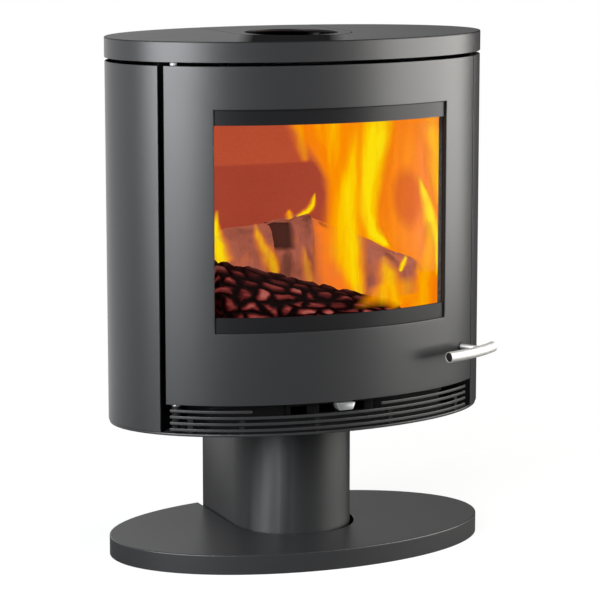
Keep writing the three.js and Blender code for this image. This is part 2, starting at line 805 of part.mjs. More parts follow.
function makeFirebox() {
  const inner = fireboxPlan(fireboxSheet, fireboxBottom + fireboxSheet, fireboxTop - fireboxSheet);
  const doorway = block(
    -fireboxDoorHalfWidth,
    fireboxDoorHalfWidth,
    -body.b,
    0,
    fireboxDoorBottom,
    fireboxDoorTop,
  );
  const shell = cut(
    fireboxPlan(0, fireboxBottom, fireboxTop),
    inner,
    doorway,
    pin(0, flueCentreY, fireboxTop - fireboxSheet - 1, fireboxTop + 1, collarRadius - collarWall, 36),
    block(
      -airWindow.halfWidth,
      airWindow.halfWidth,
      airWindow.front,
      airWindow.back,
      fireboxBottom - 1,
      fireboxBottom + fireboxSheet + 1,
    ),
  );
  const shelf = cut(
    fireboxPlan(fireboxSheet - 1, shelfHeight, shelfTop),
    block(
      -shelfHalfWidth,
      shelfHalfWidth,
      shelfFrontY,
      shelfBackY,
      shelfHeight - 1,
      shelfTop + 1,
    ),
    block(
      -fireboxDoorHalfWidth,
      fireboxDoorHalfWidth,
      -body.b,
      -body.b + fireboxInset + 2 * fireboxSheet,
      shelfHeight - 1,
      shelfTop + 1,
    ),
  );
  const lidSupports = [-lidSupportX, lidSupportX].flatMap((x) =>
    [lidSupportFrontY, lidSupportBackY].map((y) =>
      pin(x, y, fireboxTop - fireboxSheet / 2, lidCeiling - gap, lidSupportRadius, 12),
    ),
  );
  piece("firebox_body", join(shell, shelf, ...lidSupports), finishes.darkSteel);

  const seat = fireboxSheet + gap;
  const outer = planCorners(seat);
  const face = planCorners(seat + brick);
  const backBrick = [mirrored(face.back), face.back, outer.back, mirrored(outer.back)];
  const cornerBrick = [face.back, face.side, outer.side, outer.back];
  const sideBrick = [
    [face.side[0], sideBrickFrontY],
    [outer.side[0], sideBrickFrontY],
    outer.side,
    face.side,
  ];
  const standing = (points, z0, z1) => prism(shrink(points, gap / 2), z0, z1);
  const wallBottom = hearthTop + gap;
  const wallTop = baffleBottom - gap;
  const flip = (points) => points.map(mirrored).reverse();
  piece("lining_back_lower", standing(backBrick, wallBottom, courseHeight - gap), finishes.vermiculite);
  piece("lining_back_upper", standing(backBrick, courseHeight, wallTop), finishes.vermiculite);
  piece("lining_corner_left", standing(flip(cornerBrick), wallBottom, wallTop), finishes.vermiculite);
  piece("lining_corner_right", standing(cornerBrick, wallBottom, wallTop), finishes.vermiculite);
  piece("lining_side_left", standing(flip(sideBrick), wallBottom, wallTop), finishes.vermiculite);
  piece("lining_side_right", standing(sideBrick, wallBottom, wallTop), finishes.vermiculite);

  const frontLimit = block(-body.a, body.a, -body.b * 2, sideBrickFrontY, 0, overallHeight);
  const grateRoom = block(
    -shelfHalfWidth - grateMargin - gap,
    shelfHalfWidth + grateMargin + gap,
    shelfFrontY - grateMargin - gap,
    shelfBackY + grateMargin + gap,
    shelfTop,
    hearthTop + 1,
  );
  piece(
    "lining_base",
    cut(fireboxPlan(seat, shelfTop + gap, hearthTop), frontLimit, grateRoom),
    finishes.vermiculite,
  );

  const baffleLimit = block(-body.a, body.a, -body.b * 2, baffleFrontY, 0, overallHeight);
  piece(
    "baffle_plate",
    cut(fireboxPlan(seat, baffleBottom, baffleBottom + baffleThickness), baffleLimit),
    finishes.vermiculite,
  );

  const slotPitch = (2 * shelfHalfWidth) / grateSlots;
  const slots = [];
  for (let k = 0; k < grateSlots; k++) {
    const x = (k - (grateSlots - 1) / 2) * slotPitch;
    slots.push(
      block(
        x - grateSlotWidth / 2,
        x + grateSlotWidth / 2,
        shelfFrontY + gap,
        shelfBackY - gap,
        shelfTop,
        shelfTop + gap + grateHeight + 1,
      ),
    );
  }
  const grate = block(
    -shelfHalfWidth - grateMargin,
    shelfHalfWidth + grateMargin,
    shelfFrontY - grateMargin,
    shelfBackY + grateMargin,
    shelfTop + gap,
    shelfTop + gap + grateHeight,
  );
  piece("grate", cut(grate, ...slots), finishes.castIron);

  piece(
    "log_guard",
    frontSheet(
      guardInset,
      guardInset + guardSheet,
      -guardHalfWidth,
      guardHalfWidth,
      shelfTop + gap,
      hearthTop + guardHeight,
    ),
    finishes.darkSteel,
  );

  const panFloor = fireboxBottom + fireboxSheet + gap;
  const pan = cut(
    block(-panHalfWidth, panHalfWidth, panFrontY, panBackY, panFloor, panFloor + ashPan.height),
    block(
      -panHalfWidth + ashPan.sheet,
      panHalfWidth - ashPan.sheet,
      panFrontY + ashPan.sheet,
      panBackY - ashPan.sheet,
      panFloor + ashPan.sheet,
      panFloor + ashPan.height + 1,
    ),
  );
  piece("ash_pan", pan, finishes.zincSteel);

  const collarFoot = fireboxTop + gap;
  const collar = cut(
    join(
      pin(0, flueCentreY, collarFoot, collarFoot + fireboxSheet, collarRadius + collarFlange, 36),
      pin(0, flueCentreY, collarFoot, collarFoot + collarHeight, collarRadius, 36),
    ),
    pin(0, flueCentreY, collarFoot - 1, collarFoot + collarHeight + 1, collarRadius - collarWall, 36),
  );
  piece("flue_collar", collar, finishes.castIron);
}

function makeHeatShield() {
  const front = fireboxBackY + shieldGap;
  const sheetBody = block(
    -shieldHalfWidth,
    shieldHalfWidth,
    front,
    front + shieldSheet,
    shieldBottom,
    shieldTop,
  );
  const tabs = [-1, 1].flatMap((side) =>
    [shieldBottom, shieldTop - shieldTab].map((z) =>
      block(
        side * (shieldHalfWidth - shieldTab) - shieldTab / 2,
        side * (shieldHalfWidth - shieldTab) + shieldTab / 2,
        fireboxBackY + gap,
        front + shieldSheet / 2,
        z,
        z + shieldTab,
      ),
    ),
  );
  piece("rear_heat_shield", join(sheetBody, ...tabs), finishes.zincSteel);
}

// ---------------------------------------------------------------- lid
function makeLid() {
  const lid = cut(
    oval(body, -lidOverhang, lidBottom, overallHeight),
    oval(body, lidSkin - lidOverhang, lidBottom - 1, lidCeiling),
  );
  const notch = uShape(insertHalfWidth + gap, flueCentreY, body.b * 2, lidBottom - 1, overallHeight + 1);
  const ledgeTop = lidCeiling - gap;
  const ledge = cut(
    uShape(insertHalfWidth + ledgeWidth, flueCentreY, body.b, ledgeTop - ledgeThickness, ledgeTop),
    uShape(
      insertHalfWidth - ledgeWidth,
      flueCentreY,
      body.b * 2,
      ledgeTop - ledgeThickness - 1,
      ledgeTop + 1,
    ),
  ).intersect(oval(body, lidSkin - lidOverhang + gap, 0, overallHeight));
  const bridge = cut(
    uShape(insertHalfWidth + ledgeWidth, flueCentreY, body.b, ledgeTop - ledgeThickness, lidCeiling + 1),
    uShape(insertHalfWidth + gap, flueCentreY, body.b * 2, 0, overallHeight),
  ).intersect(oval(body, lidSkin / 2, 0, overallHeight));
  piece("top_plate", join(cut(lid, notch), bridge, ledge), finishes.blackPaint);

  const insert = cut(
    lid.intersect(uShape(insertHalfWidth, flueCentreY, body.b * 2, 0, overallHeight + 1)),
    pin(0, flueCentreY, lidBottom, overallHeight + 1, flueOpeningRadius, 36),
  );
  piece("top_insert", insert, finishes.blackPaint);
}

// ---------------------------------------------------------------- door
const hingeAngle = frontAngle(hingeSurfaceX);
const [hingeX, hingeY] = ovalPoint(body, hingeInset, hingeAngle);
const handleAngle = frontAngle(handleSurfaceX);
const [handleX, handleY] = ovalPoint(body, 0, handleAngle);
const [outX, outY] = ovalNormal(body, handleAngle);
// A point on the handle's axis, at a depth behind the door's face (negative is in front of it).
const onSpindle = (depth) => [handleX - depth * outX, handleY - depth * outY, handleHeight];

function makeDoor() {
  const window = block(-windowHalfWidth, windowHalfWidth, -body.b * 2, 0, windowBottom, windowTop);
  const bushHole = bar(onSpindle(-doorSheet), onSpindle(2 * doorSheet), spindleRadius + 2 * gap + bushWall);
  const lugFoot = doorSheet - doorSheet / 4;
  const lug = (z0) =>
    join(
      pin(hingeX, hingeY, z0, z0 + hingeLugHeight, hingeLugRadius),
      sheet(
        lugFoot,
        hingeInset,
        hingeAngle - hingeLugRadius / body.a,
        hingeAngle + hingeLugRadius / body.a,
        z0,
        z0 + hingeLugHeight,
      ),
    );
  const lowerLug = doorBottom + gap;
  const upperLug = bodyTop - hingeLugHeight - gap;
  const panel = cut(
    join(
      frontSheet(0, doorSheet, doorLeftX, doorRightX, doorBottom, bodyTop),
      lug(lowerLug),
      lug(upperLug),
    ),
    window,
    bushHole,
    pin(hingeX, hingeY, 0, overallHeight, hingePinRadius + gap),
  );
  piece("door_panel", panel, finishes.blackPaint, groups.door);

  const tape = cut(
    frontSheet(
      tapeInset,
      tapeInset + gasketTape,
      -glassHalfWidth,
      glassHalfWidth,
      glassBottom,
      glassTop,
    ),
    frontSheet(
      tapeInset - 1,
      tapeInset + gasketTape + 1,
      -windowHalfWidth - tapeEdge,
      windowHalfWidth + tapeEdge,
      windowBottom - tapeEdge,
      windowTop + tapeEdge,
    ),
  );
  piece("glass_gasket", tape, finishes.rope, groups.door);
  piece(
    "door_glass",
    frontSheet(
      glassInset,
      glassInset + glassThickness,
      -glassHalfWidth,
      glassHalfWidth,
      glassBottom,
      glassTop,
    ),
    finishes.glass,
    groups.door,
  );

  const pocketHalfWidth = glassHalfWidth + framePocket;
  const pocketBottom = glassBottom - framePocket;
  const pocketTop = glassTop + framePocket;
  const frameHalfWidth = pocketHalfWidth + frameBar;
  const clips = [
    { name: "glass_clip_top", screw: "clip_screw_top", edge: glassTop, seat: pocketTop, up: 1 },
    { name: "glass_clip_bottom", screw: "clip_screw_bottom", edge: glassBottom, seat: pocketBottom, up: -1 },
  ];
  const onFrame = ({ seat, up }, depth) => [...ovalPoint(body, depth, 0), seat + (up * frameBar) / 2];
  const screwTools = clips.map((clip) =>
    bar(
      onFrame(clip, tapeInset + gap),
      onFrame(clip, ropeInset + frameBar),
      screwRadius + gap,
      screwRadius + gap,
      12,
    ),
  );
  const opening = (z0, z1) =>
    frontSheet(tapeInset - 1, ropeInset + 1, -pocketHalfWidth, pocketHalfWidth, z0, z1);
  const frame = cut(
    frontSheet(tapeInset, tapeInset + frameDepth, -frameHalfWidth, frameHalfWidth, frameBottom, frameTop),
    opening(pocketBottom, pocketTop),
    opening(frameBottom + frameBar, pocketBottom - frameBar),
    ...screwTools,
  );
  piece("door_inner_frame", frame, finishes.darkSteel, groups.door);

  const ropeHalfWidth = frameHalfWidth - ropeMargin;
  const ropeBottom = frameBottom + ropeMargin;
  const ropeTop = frameTop - ropeMargin;
  const rope = cut(
    frontSheet(ropeInset, ropeInset + ropeDepth, -ropeHalfWidth, ropeHalfWidth, ropeBottom, ropeTop),
    frontSheet(
      ropeInset - 1,
      ropeInset + ropeDepth + 1,
      -ropeHalfWidth + ropeWidth,
      ropeHalfWidth - ropeWidth,
      ropeBottom + ropeWidth,
      ropeTop - ropeWidth,
    ),
  );
  piece("door_gasket", rope, finishes.rope, groups.door);

  for (const clip of clips) {
    const span = (from, to) => [Math.min(from, to), Math.max(from, to)];
    const wide = [-clipHalfLength, clipHalfLength];
    const glassBack = glassInset + glassThickness + gap;
    const overGlass = clip.edge - clip.up * clipGrip;
    const strip = join(
      frontSheet(
        ropeInset,
        ropeInset + clipSheet,
        ...wide,
        ...span(overGlass, clip.seat + clip.up * (frameBar - gap)),
      ),
      frontSheet(glassBack, ropeInset + clipSheet / 2, ...wide, ...span(overGlass, clip.seat - clip.up * gap)),
    );
    piece(clip.name, cut(strip, ...screwTools), finishes.zincSteel, groups.door);
    const screw = fastener(
      onFrame(clip, ropeInset + clipSheet + gap),
      [0, -1, 0],
      screwHeadRadius,
      screwHeadHeight,
      screwRadius,
      clipSheet + frameDepth / 2,
      12,
    );
    piece(clip.screw, screw, finishes.zincSteel, groups.door);
  }
}

// ---------------------------------------------------------------- hinges
function makeHinges() {
  const pedestalTop = doorBottom - hingeWasherHeight - gap;
  const upperFrom = bodyTop - hingeLugHeight;
  const upperTo = upperFrom + hingePinLength;
  const lowerTo = doorBottom + hingeLugHeight;
  const lowerFrom = lowerTo - hingePinLength;
  piece("upper_hinge_pin", pin(hingeX, hingeY, upperFrom, upperTo, hingePinRadius), finishes.zincSteel);
  piece("lower_hinge_pin", pin(hingeX, hingeY, lowerFrom, lowerTo, hingePinRadius), finishes.zincSteel);

  const pinRoom = pin(hingeX, hingeY, lowerFrom - gap, overallHeight, hingePinRadius + gap);
  piece(
    "lower_hinge_pedestal",
    cut(pin(hingeX, hingeY, bodyFloor + gap, pedestalTop, hingeLugRadius), pinRoom),
    finishes.darkSteel,
  );
  piece(
    "hinge_washer",
    cut(
      pin(hingeX, hingeY, pedestalTop + gap, pedestalTop + gap + hingeWasherHeight, hingeLugRadius),
      pinRoom,
    ),
    finishes.zincSteel,
  );

  const postPoint = ovalPoint(body, hingeBracketReach, -frontPostAngle - webAngle / 2);
  const z0 = lidBottom + gap;
  const z1 = z0 + hingeBracketThickness;
  const along = new THREE.Vector2(postPoint[0] - hingeX, postPoint[1] - hingeY);
  const across = new THREE.Vector2(-along.y, along.x).setLength(hingeLugRadius);
  const bracket = join(
    pin(hingeX, hingeY, z0, z1, hingeLugRadius),
    pin(...postPoint, z0, z1, hingeLugRadius),
    prism(
      [
        [hingeX - across.x, hingeY - across.y],
        [postPoint[0] - across.x, postPoint[1] - across.y],
        [postPoint[0] + across.x, postPoint[1] + across.y],
        [hingeX + across.x, hingeY + across.y],
      ],
      z0,
      z1,
    ),
  );
  piece("upper_hinge_bracket", cut(bracket, pinRoom), finishes.darkSteel);
}

// ---------------------------------------------------------------- handle and latch
// A round bar at the handle's standoff that bends with the door, between two distances from the post.
function bentBar(radius, from, to) {
  const rings = [];
  for (let k = 0; k <= handleSteps; k++) {
    const bend = (from + ((to - from) * k) / handleSteps) / handleBend;
    const [side, front] = [handleBend * Math.sin(bend), handleBend * (Math.cos(bend) - 1)];
    const reach = front + handleStandoff;
    const centre = [handleX + reach * outX - side * outY, handleY + reach * outY + side * outX];
    const out = [outX * Math.cos(bend) - outY * Math.sin(bend), outY * Math.cos(bend) + outX * Math.sin(bend)];
    rings.push(
      Array.from({ length: handleSides }, (_, j) => {
        const t = (2 * Math.PI * j) / handleSides;
        const r = radius * Math.cos(t);
        return [centre[0] + r * out[0], centre[1] + r * out[1], handleHeight + radius * Math.sin(t)];
      }),
    );
  }
  const positions = [];
  const quad = (a, b, c, d) => positions.push(...a, ...b, ...c, ...a, ...c, ...d);
  for (let k = 0; k < handleSteps; k++) {
    for (let j = 0; j < handleSides; j++) {
      const next = (j + 1) % handleSides;
      quad(rings[k][j], rings[k + 1][j], rings[k + 1][next], rings[k][next]);
    }
  }
  for (let j = 1; j < handleSides - 1; j++) {
    positions.push(...rings[0][0], ...rings[0][j], ...rings[0][j + 1]);
    positions.push(...rings[handleSteps][0], ...rings[handleSteps][j + 1], ...rings[handleSteps][j]);
  }
  const geometry = new THREE.BufferGeometry();
  geometry.setAttribute("position", new THREE.Float32BufferAttribute(positions, 3));
  return solid(geometry);
}

function makeHandle() {
  const along = [-outY, outX]; // to the right along the door's face
  const tube = cut(
    bentBar(handleRadius, -handleLeft, handleRight),
    bentBar(handleRadius - handleWall, -handleLeft - 1, handleRight + 1),
    bar(onSpindle(-handleStandoff), onSpindle(0), spindleRadius + gap),
  );
  piece("handle_bar", tube, finishes.brushedSteel, groups.door);

  const nutStart = camInset + camThickness + gap;
  const nutEnd = nutStart + latchNutHeight;
  piece(
    "latch_spindle",
    bar(onSpindle(-handleStandoff), onSpindle(nutEnd), spindleRadius),
    finishes.brushedSteel,
    groups.door,
  );
  const spindleRoom = bar(onSpindle(-handleStandoff), onSpindle(nutEnd + 1), spindleRadius + gap);
  const bushOuter = spindleRadius + gap + bushWall;
  const bush = cut(
    join(
      bar(onSpindle(-gap), onSpindle(camInset - 2 * gap), bushOuter),
      bar(onSpindle(doorSheet + 2 * gap), onSpindle(doorSheet + 2 * gap + bushWall), bushOuter + bushFlange),
    ),
    spindleRoom,
  );
  piece("latch_bush", bush, finishes.darkSteel, groups.door);

  const nut = cut(bar(onSpindle(nutStart), onSpindle(nutEnd), latchNutRadius, latchNutRadius, 6), spindleRoom);
  piece("latch_nut", nut, finishes.zincSteel, groups.door);

  const armCentre = (s, depth) => {
    const [x, y] = onSpindle(depth);
    return [x + s * along[0], y + s * along[1], handleHeight];
  };
  const near = camInset;
  const far = camInset + camThickness;
  const arm = new THREE.Matrix4().makeBasis(
    new THREE.Vector3(along[0], along[1], 0),
    new THREE.Vector3(-outX, -outY, 0),
    new THREE.Vector3(0, 0, 1),
  );
  const armBox = new THREE.BoxGeometry(camReach - camHalfWidth, camThickness, 2 * camHalfWidth);
  armBox.translate((camReach - camHalfWidth) / 2, camInset + camThickness / 2, 0);
  armBox.applyMatrix4(arm).translate(handleX, handleY, handleHeight);
  const cam = cut(
    join(
      bar(onSpindle(near), onSpindle(far), 2 * spindleRadius),
      solid(armBox),
      bar(
        armCentre(camReach - camHalfWidth, near),
        armCentre(camReach - camHalfWidth, far),
        camHalfWidth,
      ),
    ),
    spindleRoom,
  );
  piece("latch_cam", cam, finishes.zincSteel, groups.door);

  const keeperBottom = handleHeight + camHalfWidth + keeperLift;
  const keeperEnd = frontPostAngle - gap / body.b;
  piece(
    "latch_keeper",
    sheet(
      keeperInset,
      keeperInset + keeperThickness,
      keeperEnd - keeperLength / body.b,
      keeperEnd,
      keeperBottom,
      keeperBottom + keeperHeight,
    ),
    finishes.zincSteel,
  );
}

// ---------------------------------------------------------------- logs
// A log lies on the hearth or leans on another: two oval ends, joined by straight sides.
function log(ends) {
  const positions = [];
  const hearthFront = -body.b + guardInset + guardSheet;
  const hearthDepth = fireboxBackY - fireboxSheet - gap - brick - hearthFront;
  const hearthHalfWidth = fireboxHalfWidth - fireboxSheet - gap - brick;
  const rims = ends.map(({ across, back, depth, height, lift }) =>
    Array.from({ length: logSides }, (_, k) => {
      const t = (2 * Math.PI * k) / logSides;
      return [
        across * hearthHalfWidth,
        hearthFront + (back + depth * Math.cos(t)) * hearthDepth,
        hearthTop + gap + (lift + height * (1 + Math.sin(t))) * hearthDepth,
      ];
    }),
  );
  const middle = (rim) => [0, 1, 2].map((i) => rim.reduce((sum, p) => sum + p[i], 0) / rim.length);
  const [first, last] = rims;
  for (let k = 0; k < logSides; k++) {
    const next = (k + 1) % logSides;
    positions.push(...first[k], ...first[next], ...last[next]);
    positions.push(...first[k], ...last[next], ...last[k]);
    positions.push(...middle(first), ...first[next], ...first[k]);
    positions.push(...middle(last), ...last[k], ...last[next]);
  }
  const geometry = new THREE.BufferGeometry();
  geometry.setAttribute("position", new THREE.Float32BufferAttribute(positions, 3));
  return solid(geometry);
}

function makeLogs() {
  for (const [name, ends] of Object.entries(logs)) {
    piece(name, log(ends), finishes.charredWood);
  }
}

makeBase();
makeColumn();
makeShell();
makeGrille();
makeAirControl();
makeFirebox();
makeHeatShield();
makeLid();
makeDoor();
makeHinges();
makeHandle();
makeLogs();

export default stove;
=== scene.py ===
# %% [markdown]
# # A wood stove on a pedestal
# The stove is an oval drum on a column and an oval foot, with a curved glass door and a fire behind it.
# Its real sizes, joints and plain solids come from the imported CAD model, which stays fixed. This lesson
# dresses that model: it gives the solids their finishes and puts finer surfaces in place of those that
# show. All surfaces are worked out with numpy in millimetres, and become metres when a mesh is made.

# %% The fixed frame
import math
import json

import bpy
import numpy as np
from mathutils import Matrix, Vector


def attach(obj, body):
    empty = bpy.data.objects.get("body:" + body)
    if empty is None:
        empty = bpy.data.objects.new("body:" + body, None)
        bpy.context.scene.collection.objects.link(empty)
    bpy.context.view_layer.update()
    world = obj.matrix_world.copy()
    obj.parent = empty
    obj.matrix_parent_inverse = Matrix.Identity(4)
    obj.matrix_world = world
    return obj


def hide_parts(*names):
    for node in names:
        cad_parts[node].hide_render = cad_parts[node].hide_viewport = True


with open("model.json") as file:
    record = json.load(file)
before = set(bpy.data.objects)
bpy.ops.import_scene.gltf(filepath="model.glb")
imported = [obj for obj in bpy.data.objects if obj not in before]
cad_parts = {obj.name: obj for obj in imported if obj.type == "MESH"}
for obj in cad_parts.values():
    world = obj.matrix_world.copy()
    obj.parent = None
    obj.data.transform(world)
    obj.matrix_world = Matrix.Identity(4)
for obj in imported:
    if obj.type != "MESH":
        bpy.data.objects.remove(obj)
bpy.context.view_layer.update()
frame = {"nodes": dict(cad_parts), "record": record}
nodes = frame["nodes"]
slot_of_node = {part["node"]: part["material_slot"] for part in frame["record"]["subparts"]}
MM = 0.001

# %% [markdown]
# ## Camera
# The camera stands where the photographer stood: 23 degrees to the left of the door and 10 degrees above
# the horizon, far away with a long lens. A Track To constraint could aim it. Here its place is a target
# and a distance, and its three axes are worked out from the two angles, so that the picture has no roll.

# %% Camera
view_azimuth = math.radians(-22.9393)
view_elevation = math.radians(9.6009)
view_distance = 4.3313
view_target = Vector((0.0, 0.0, 0.4052))
target_shift = 0.0073
focal_length = 158.3

view_right = Vector((math.cos(view_azimuth), math.sin(view_azimuth), 0))
view_back = Vector(
    (
        math.sin(view_azimuth) * math.cos(view_elevation),
        -math.cos(view_azimuth) * math.cos(view_elevation),
        math.sin(view_elevation),
    )
)
camera = bpy.data.objects.new("camera", bpy.data.cameras.new("camera"))
bpy.context.scene.collection.objects.link(camera)
camera.data.lens = focal_length
camera.data.sensor_width = 36
camera.data.clip_end = 100
camera.location = view_target + view_right * target_shift + view_back * view_distance
camera.rotation_euler = Matrix(
    (view_right, view_back.cross(view_right), view_back)
).transposed().to_euler()
bpy.context.scene.camera = camera
bpy.context.scene.view_settings.view_transform = "Standard"
print("camera at", [round(c, 3) for c in camera.location])

# %% [markdown]
# ## Shader maths as Python
# A material is a network of nodes. It could be drawn by hand in the Shader Editor, but a long formula
# then becomes a tangle. So one small class wraps an output socket and lets Python's own operators add
# the Math nodes: `1 - mask * 0.3` makes two nodes.


# %% Sockets that can be added and multiplied
class Value:
    """A number on the surface: an output socket with Python's operators."""

    def __init__(self, tree, socket):
        self.tree, self.socket = tree, socket

    def math(self, operation, *others, clamp=False):
        """A Math node whose first input is this value."""
        node = self.tree.nodes.new("ShaderNodeMath")
        node.operation, node.use_clamp = operation, clamp
        for socket, value in zip(node.inputs, (self, *others)):
            put(self.tree, socket, value)
        return Value(self.tree, node.outputs[0])

    def flipped(self, operation, other):
        """A Math node whose second input is this value."""
        node = self.tree.nodes.new("ShaderNodeMath")
        node.operation = operation
        put(self.tree, node.inputs[0], other)
        put(self.tree, node.inputs[1], self)
        return Value(self.tree, node.outputs[0])

    def __add__(self, other):
        return self.math("ADD", other)

    def __sub__(self, other):
        return self.math("SUBTRACT", other)

    def __rsub__(self, other):
        return self.flipped("SUBTRACT", other)

    def __mul__(self, other):
        return self.math("MULTIPLY", other)

    def __truediv__(self, other):
        return self.math("DIVIDE", other)

    def __pow__(self, other):
        return self.math("POWER", other)

    def held(self):
        """Kept between 0 and 1."""
        return self.math("ADD", 0, clamp=True)

    __radd__, __rmul__ = __add__, __mul__


def put(tree, socket, value):
    """Links a wrapped socket, or writes a plain number or colour on the socket itself."""
    if isinstance(value, Value):
        tree.links.new(value.socket, socket)
    elif isinstance(value, tuple) and len(value) == 3 and socket.type == "RGBA":
        socket.default_value = (*value, 1)
    else:
        socket.default_value = value


# %% [markdown]
# A second class holds one material's tree. Each material has one Principled shader, because that is what
# other programs understand best, and one method adds every other kind of node from its type, its
# settings and its sockets.


# %% One material's tree
class Finish:
    """A material with one Principled shader, whose constants are written on its own sockets."""

    def __init__(self, name, **constants):
        self.material = bpy.data.materials.new(name)
        self.material.use_nodes = True
        self.tree = self.material.node_tree
        self.tree.nodes.clear()
        self.output = self.tree.nodes.new("ShaderNodeOutputMaterial")
        self.shader = self.tree.nodes.new("ShaderNodeBsdfPrincipled")
        self.tree.links.new(self.shader.outputs[0], self.output.inputs["Surface"])
        for socket, value in constants.items():
            self.set(socket.replace("_", " ").title(), value)

    def set(self, socket, value):
        put(self.tree, self.shader.inputs[socket.replace("Ior", "IOR")], value)

    def add(self, kind, settings=None, sockets=None, output=0):
        """Any node: its type, its settings first, then the values or links of its sockets."""
        node = self.tree.nodes.new(kind)
        for name, value in (settings or {}).items():
            if name == "stops":
                elements = node.color_ramp.elements
                for element, (position, colour) in ((elements[0], value[0]), (elements[1], value[-1])):
                    element.position, element.color = position, (*colour, 1)
                for position, colour in value[1:-1]:
                    elements.new(position).color = (*colour, 1)
            else:
                setattr(node, name, value)
        for name, value in (sockets or {}).items():
            put(self.tree, node.inputs[name], value)
        return Value(self.tree, node.outputs[output])

    def place(self, scale=(1, 1, 1)):
        """Object coordinates in metres, stretched per axis."""
        where = self.add("ShaderNodeTexCoord", output="Object")
        return self.add("ShaderNodeMapping", sockets={"Vector": where, "Scale": scale})

    def noise(self, scale, detail=2.0, roughness=0.5, stretch=(1, 1, 1), distortion=0.0):
        """Soft clouds with about so many humps per metre, times the stretch of each axis."""
        return self.add(
            "ShaderNodeTexNoise",
            sockets={
                "Vector": self.place(stretch),
                "Scale": scale,
                "Detail": detail,
                "Roughness": roughness,
                "Distortion": distortion,
            },
        )

    def cells(self, scale):
        """The distance to the middle of the nearest cell."""
        sockets = {"Vector": self.place(), "Scale": scale}
        return self.add("ShaderNodeTexVoronoi", sockets=sockets, output="Distance")

    def ramp(self, value, *stops):
        """A colour for each value from 0 to 1, between stops of (position, colour)."""
        return self.add("ShaderNodeValToRGB", {"stops": stops}, {"Fac": value})

    def blend(self, first, second, share):
        """A colour between two: the share of the second."""
        node = self.tree.nodes.new("ShaderNodeMix")
        node.data_type = "RGBA"
        put(self.tree, node.inputs[0], share)
        put(self.tree, node.inputs[6], first)
        put(self.tree, node.inputs[7], second)
        return Value(self.tree, node.outputs[2])

    def attribute(self, name):
        """A number that the mesh carries for each of its points."""
        return self.add("ShaderNodeAttribute", {"attribute_name": name}, output="Fac")

    def bump(self, height, strength, distance):
        """Grain that only bends the light: a height over the surface, in metres."""
        sockets = {"Height": height, "Strength": strength, "Distance": distance}
        self.set("Normal", self.add("ShaderNodeBump", sockets=sockets))

    def axes(self):
        """The three object coordinates, one by one."""
        parts = self.place()
        return [
            self.add("ShaderNodeSeparateXYZ", sockets={"Vector": parts}, output=axis) for axis in "XYZ"
        ]

    def finish_with(self, mixed):
        """The last shader of a material that mixes its Principled shader with another."""
        self.tree.links.new(mixed.socket, self.output.inputs["Surface"])

    def principled(self):
        return Value(self.tree, self.shader.outputs[0])


# %% [markdown]
# ## Metal finishes
# The body wears a satin anthracite heat-proof paint. It is sprayed and baked, so it has a very fine,
# dry grain: too small to see as bumps, but it softens each reflection. A single roughness would do from
# afar and look like plastic close by. So the grain is a noise of about a millimetre in the Bump node,
# and the gloss changes a little over a hand's width, as sprayed paint does.


# %% Painted steel
def painted(name, colour, roughness, grain, shine=0.5):
    """Colour and gloss of a baked paint: both vary a little with a slow and a fine noise."""
    paint = Finish(name, metallic=0.0, specular_ior_level=shine)
    slow = paint.noise(5.0, 3.0)
    fine = paint.noise(1100.0, 2.0, 0.6)
    lighter = tuple(c * 1.16 for c in colour)
    paint.set("Base Color", paint.blend(colour, lighter, slow))
    paint.set("Roughness", (roughness - 0.035) + slow * 0.05 + fine * 0.03)
    paint.bump(fine, grain, 0.0002)
    return paint


ANTHRACITE = (0.0125, 0.0127, 0.0134)
satin_paint = painted("satin_paint", ANTHRACITE, 0.37, 0.16).material
# The column's paint is a darker, less shiny copy of the satin paint: painted shade under the body.
shaded_column_paint = painted("shaded_column_paint", (0.0105, 0.0107, 0.0112), 0.44, 0.12, 0.22).material
# This black is the inner steel's own colour, made nearly black as painted shade for the hollows it lines:
# behind the grille, inside the handle, round the post and round the window.
matt_black_and_shade = painted("matt_black_and_shade", (0.004, 0.004, 0.004), 0.7, 0.3, 0.15).material
print("paints", satin_paint.name, shaded_column_paint.name, matt_black_and_shade.name)

# %% [markdown]
# In front of the flue opening the lid's top is painted black: a painted reflection of a black flue pipe
# above the opening, which is not modelled. Its rounded rim is duller than its side. That could be a dark
# decal over the lid. A Mix Shader keeps the lid one piece: the share of a black Diffuse shader is a soft
# patch, worked out from the way towards the front and to the side of the flue.

# %% Lid with a painted pipe reflection
lid_finish = painted("lid_paint", ANTHRACITE, 0.37, 0.16)
aside, ahead, level = lid_finish.axes()
flue_middle, top_face, rim_start = 0.017, 0.84285, 0.8408
front_x, front_y = -0.39, -0.92
patch_start, patch_half_width = 0.056, 0.084
towards = aside * front_x + (ahead - flue_middle) * front_y
sideways = aside * -front_y + (ahead - flue_middle) * front_x
on_top = ((level - top_face) * 20000.0).held()
# Painted reflection of a black flue pipe: a dark patch on the top face in front of the opening.
painted_pipe_reflection = on_top * ((towards - patch_start) * 90.0).held()
painted_pipe_reflection = painted_pipe_reflection * ((patch_half_width - sideways.math("ABSOLUTE")) * 40.0).held()
rim_shade = (1 - on_top) * ((level - rim_start) * 1500.0).held() * 0.55
dull = lid_finish.add("ShaderNodeBsdfDiffuse", sockets={"Color": (0.004, 0.004, 0.004)})
lid_finish.finish_with(
    lid_finish.add(
        "ShaderNodeMixShader", sockets={0: painted_pipe_reflection * 0.94 + rim_shade, 1: lid_finish.principled(), 2: dull}
    )
)
print("soot patch", round(2000 * patch_half_width), "mm wide")

# %% [markdown]
# The handle is brushed stainless steel. Brushing leaves thousands of fine parallel scratches, so the
# light spreads across them. The Anisotropic socket does that too, but few other programs read it, so
# here a noise that is stretched along the bar changes the roughness and the bump. Zinc plating is duller
# and cloudy, and raw cast iron is coarse and dark.


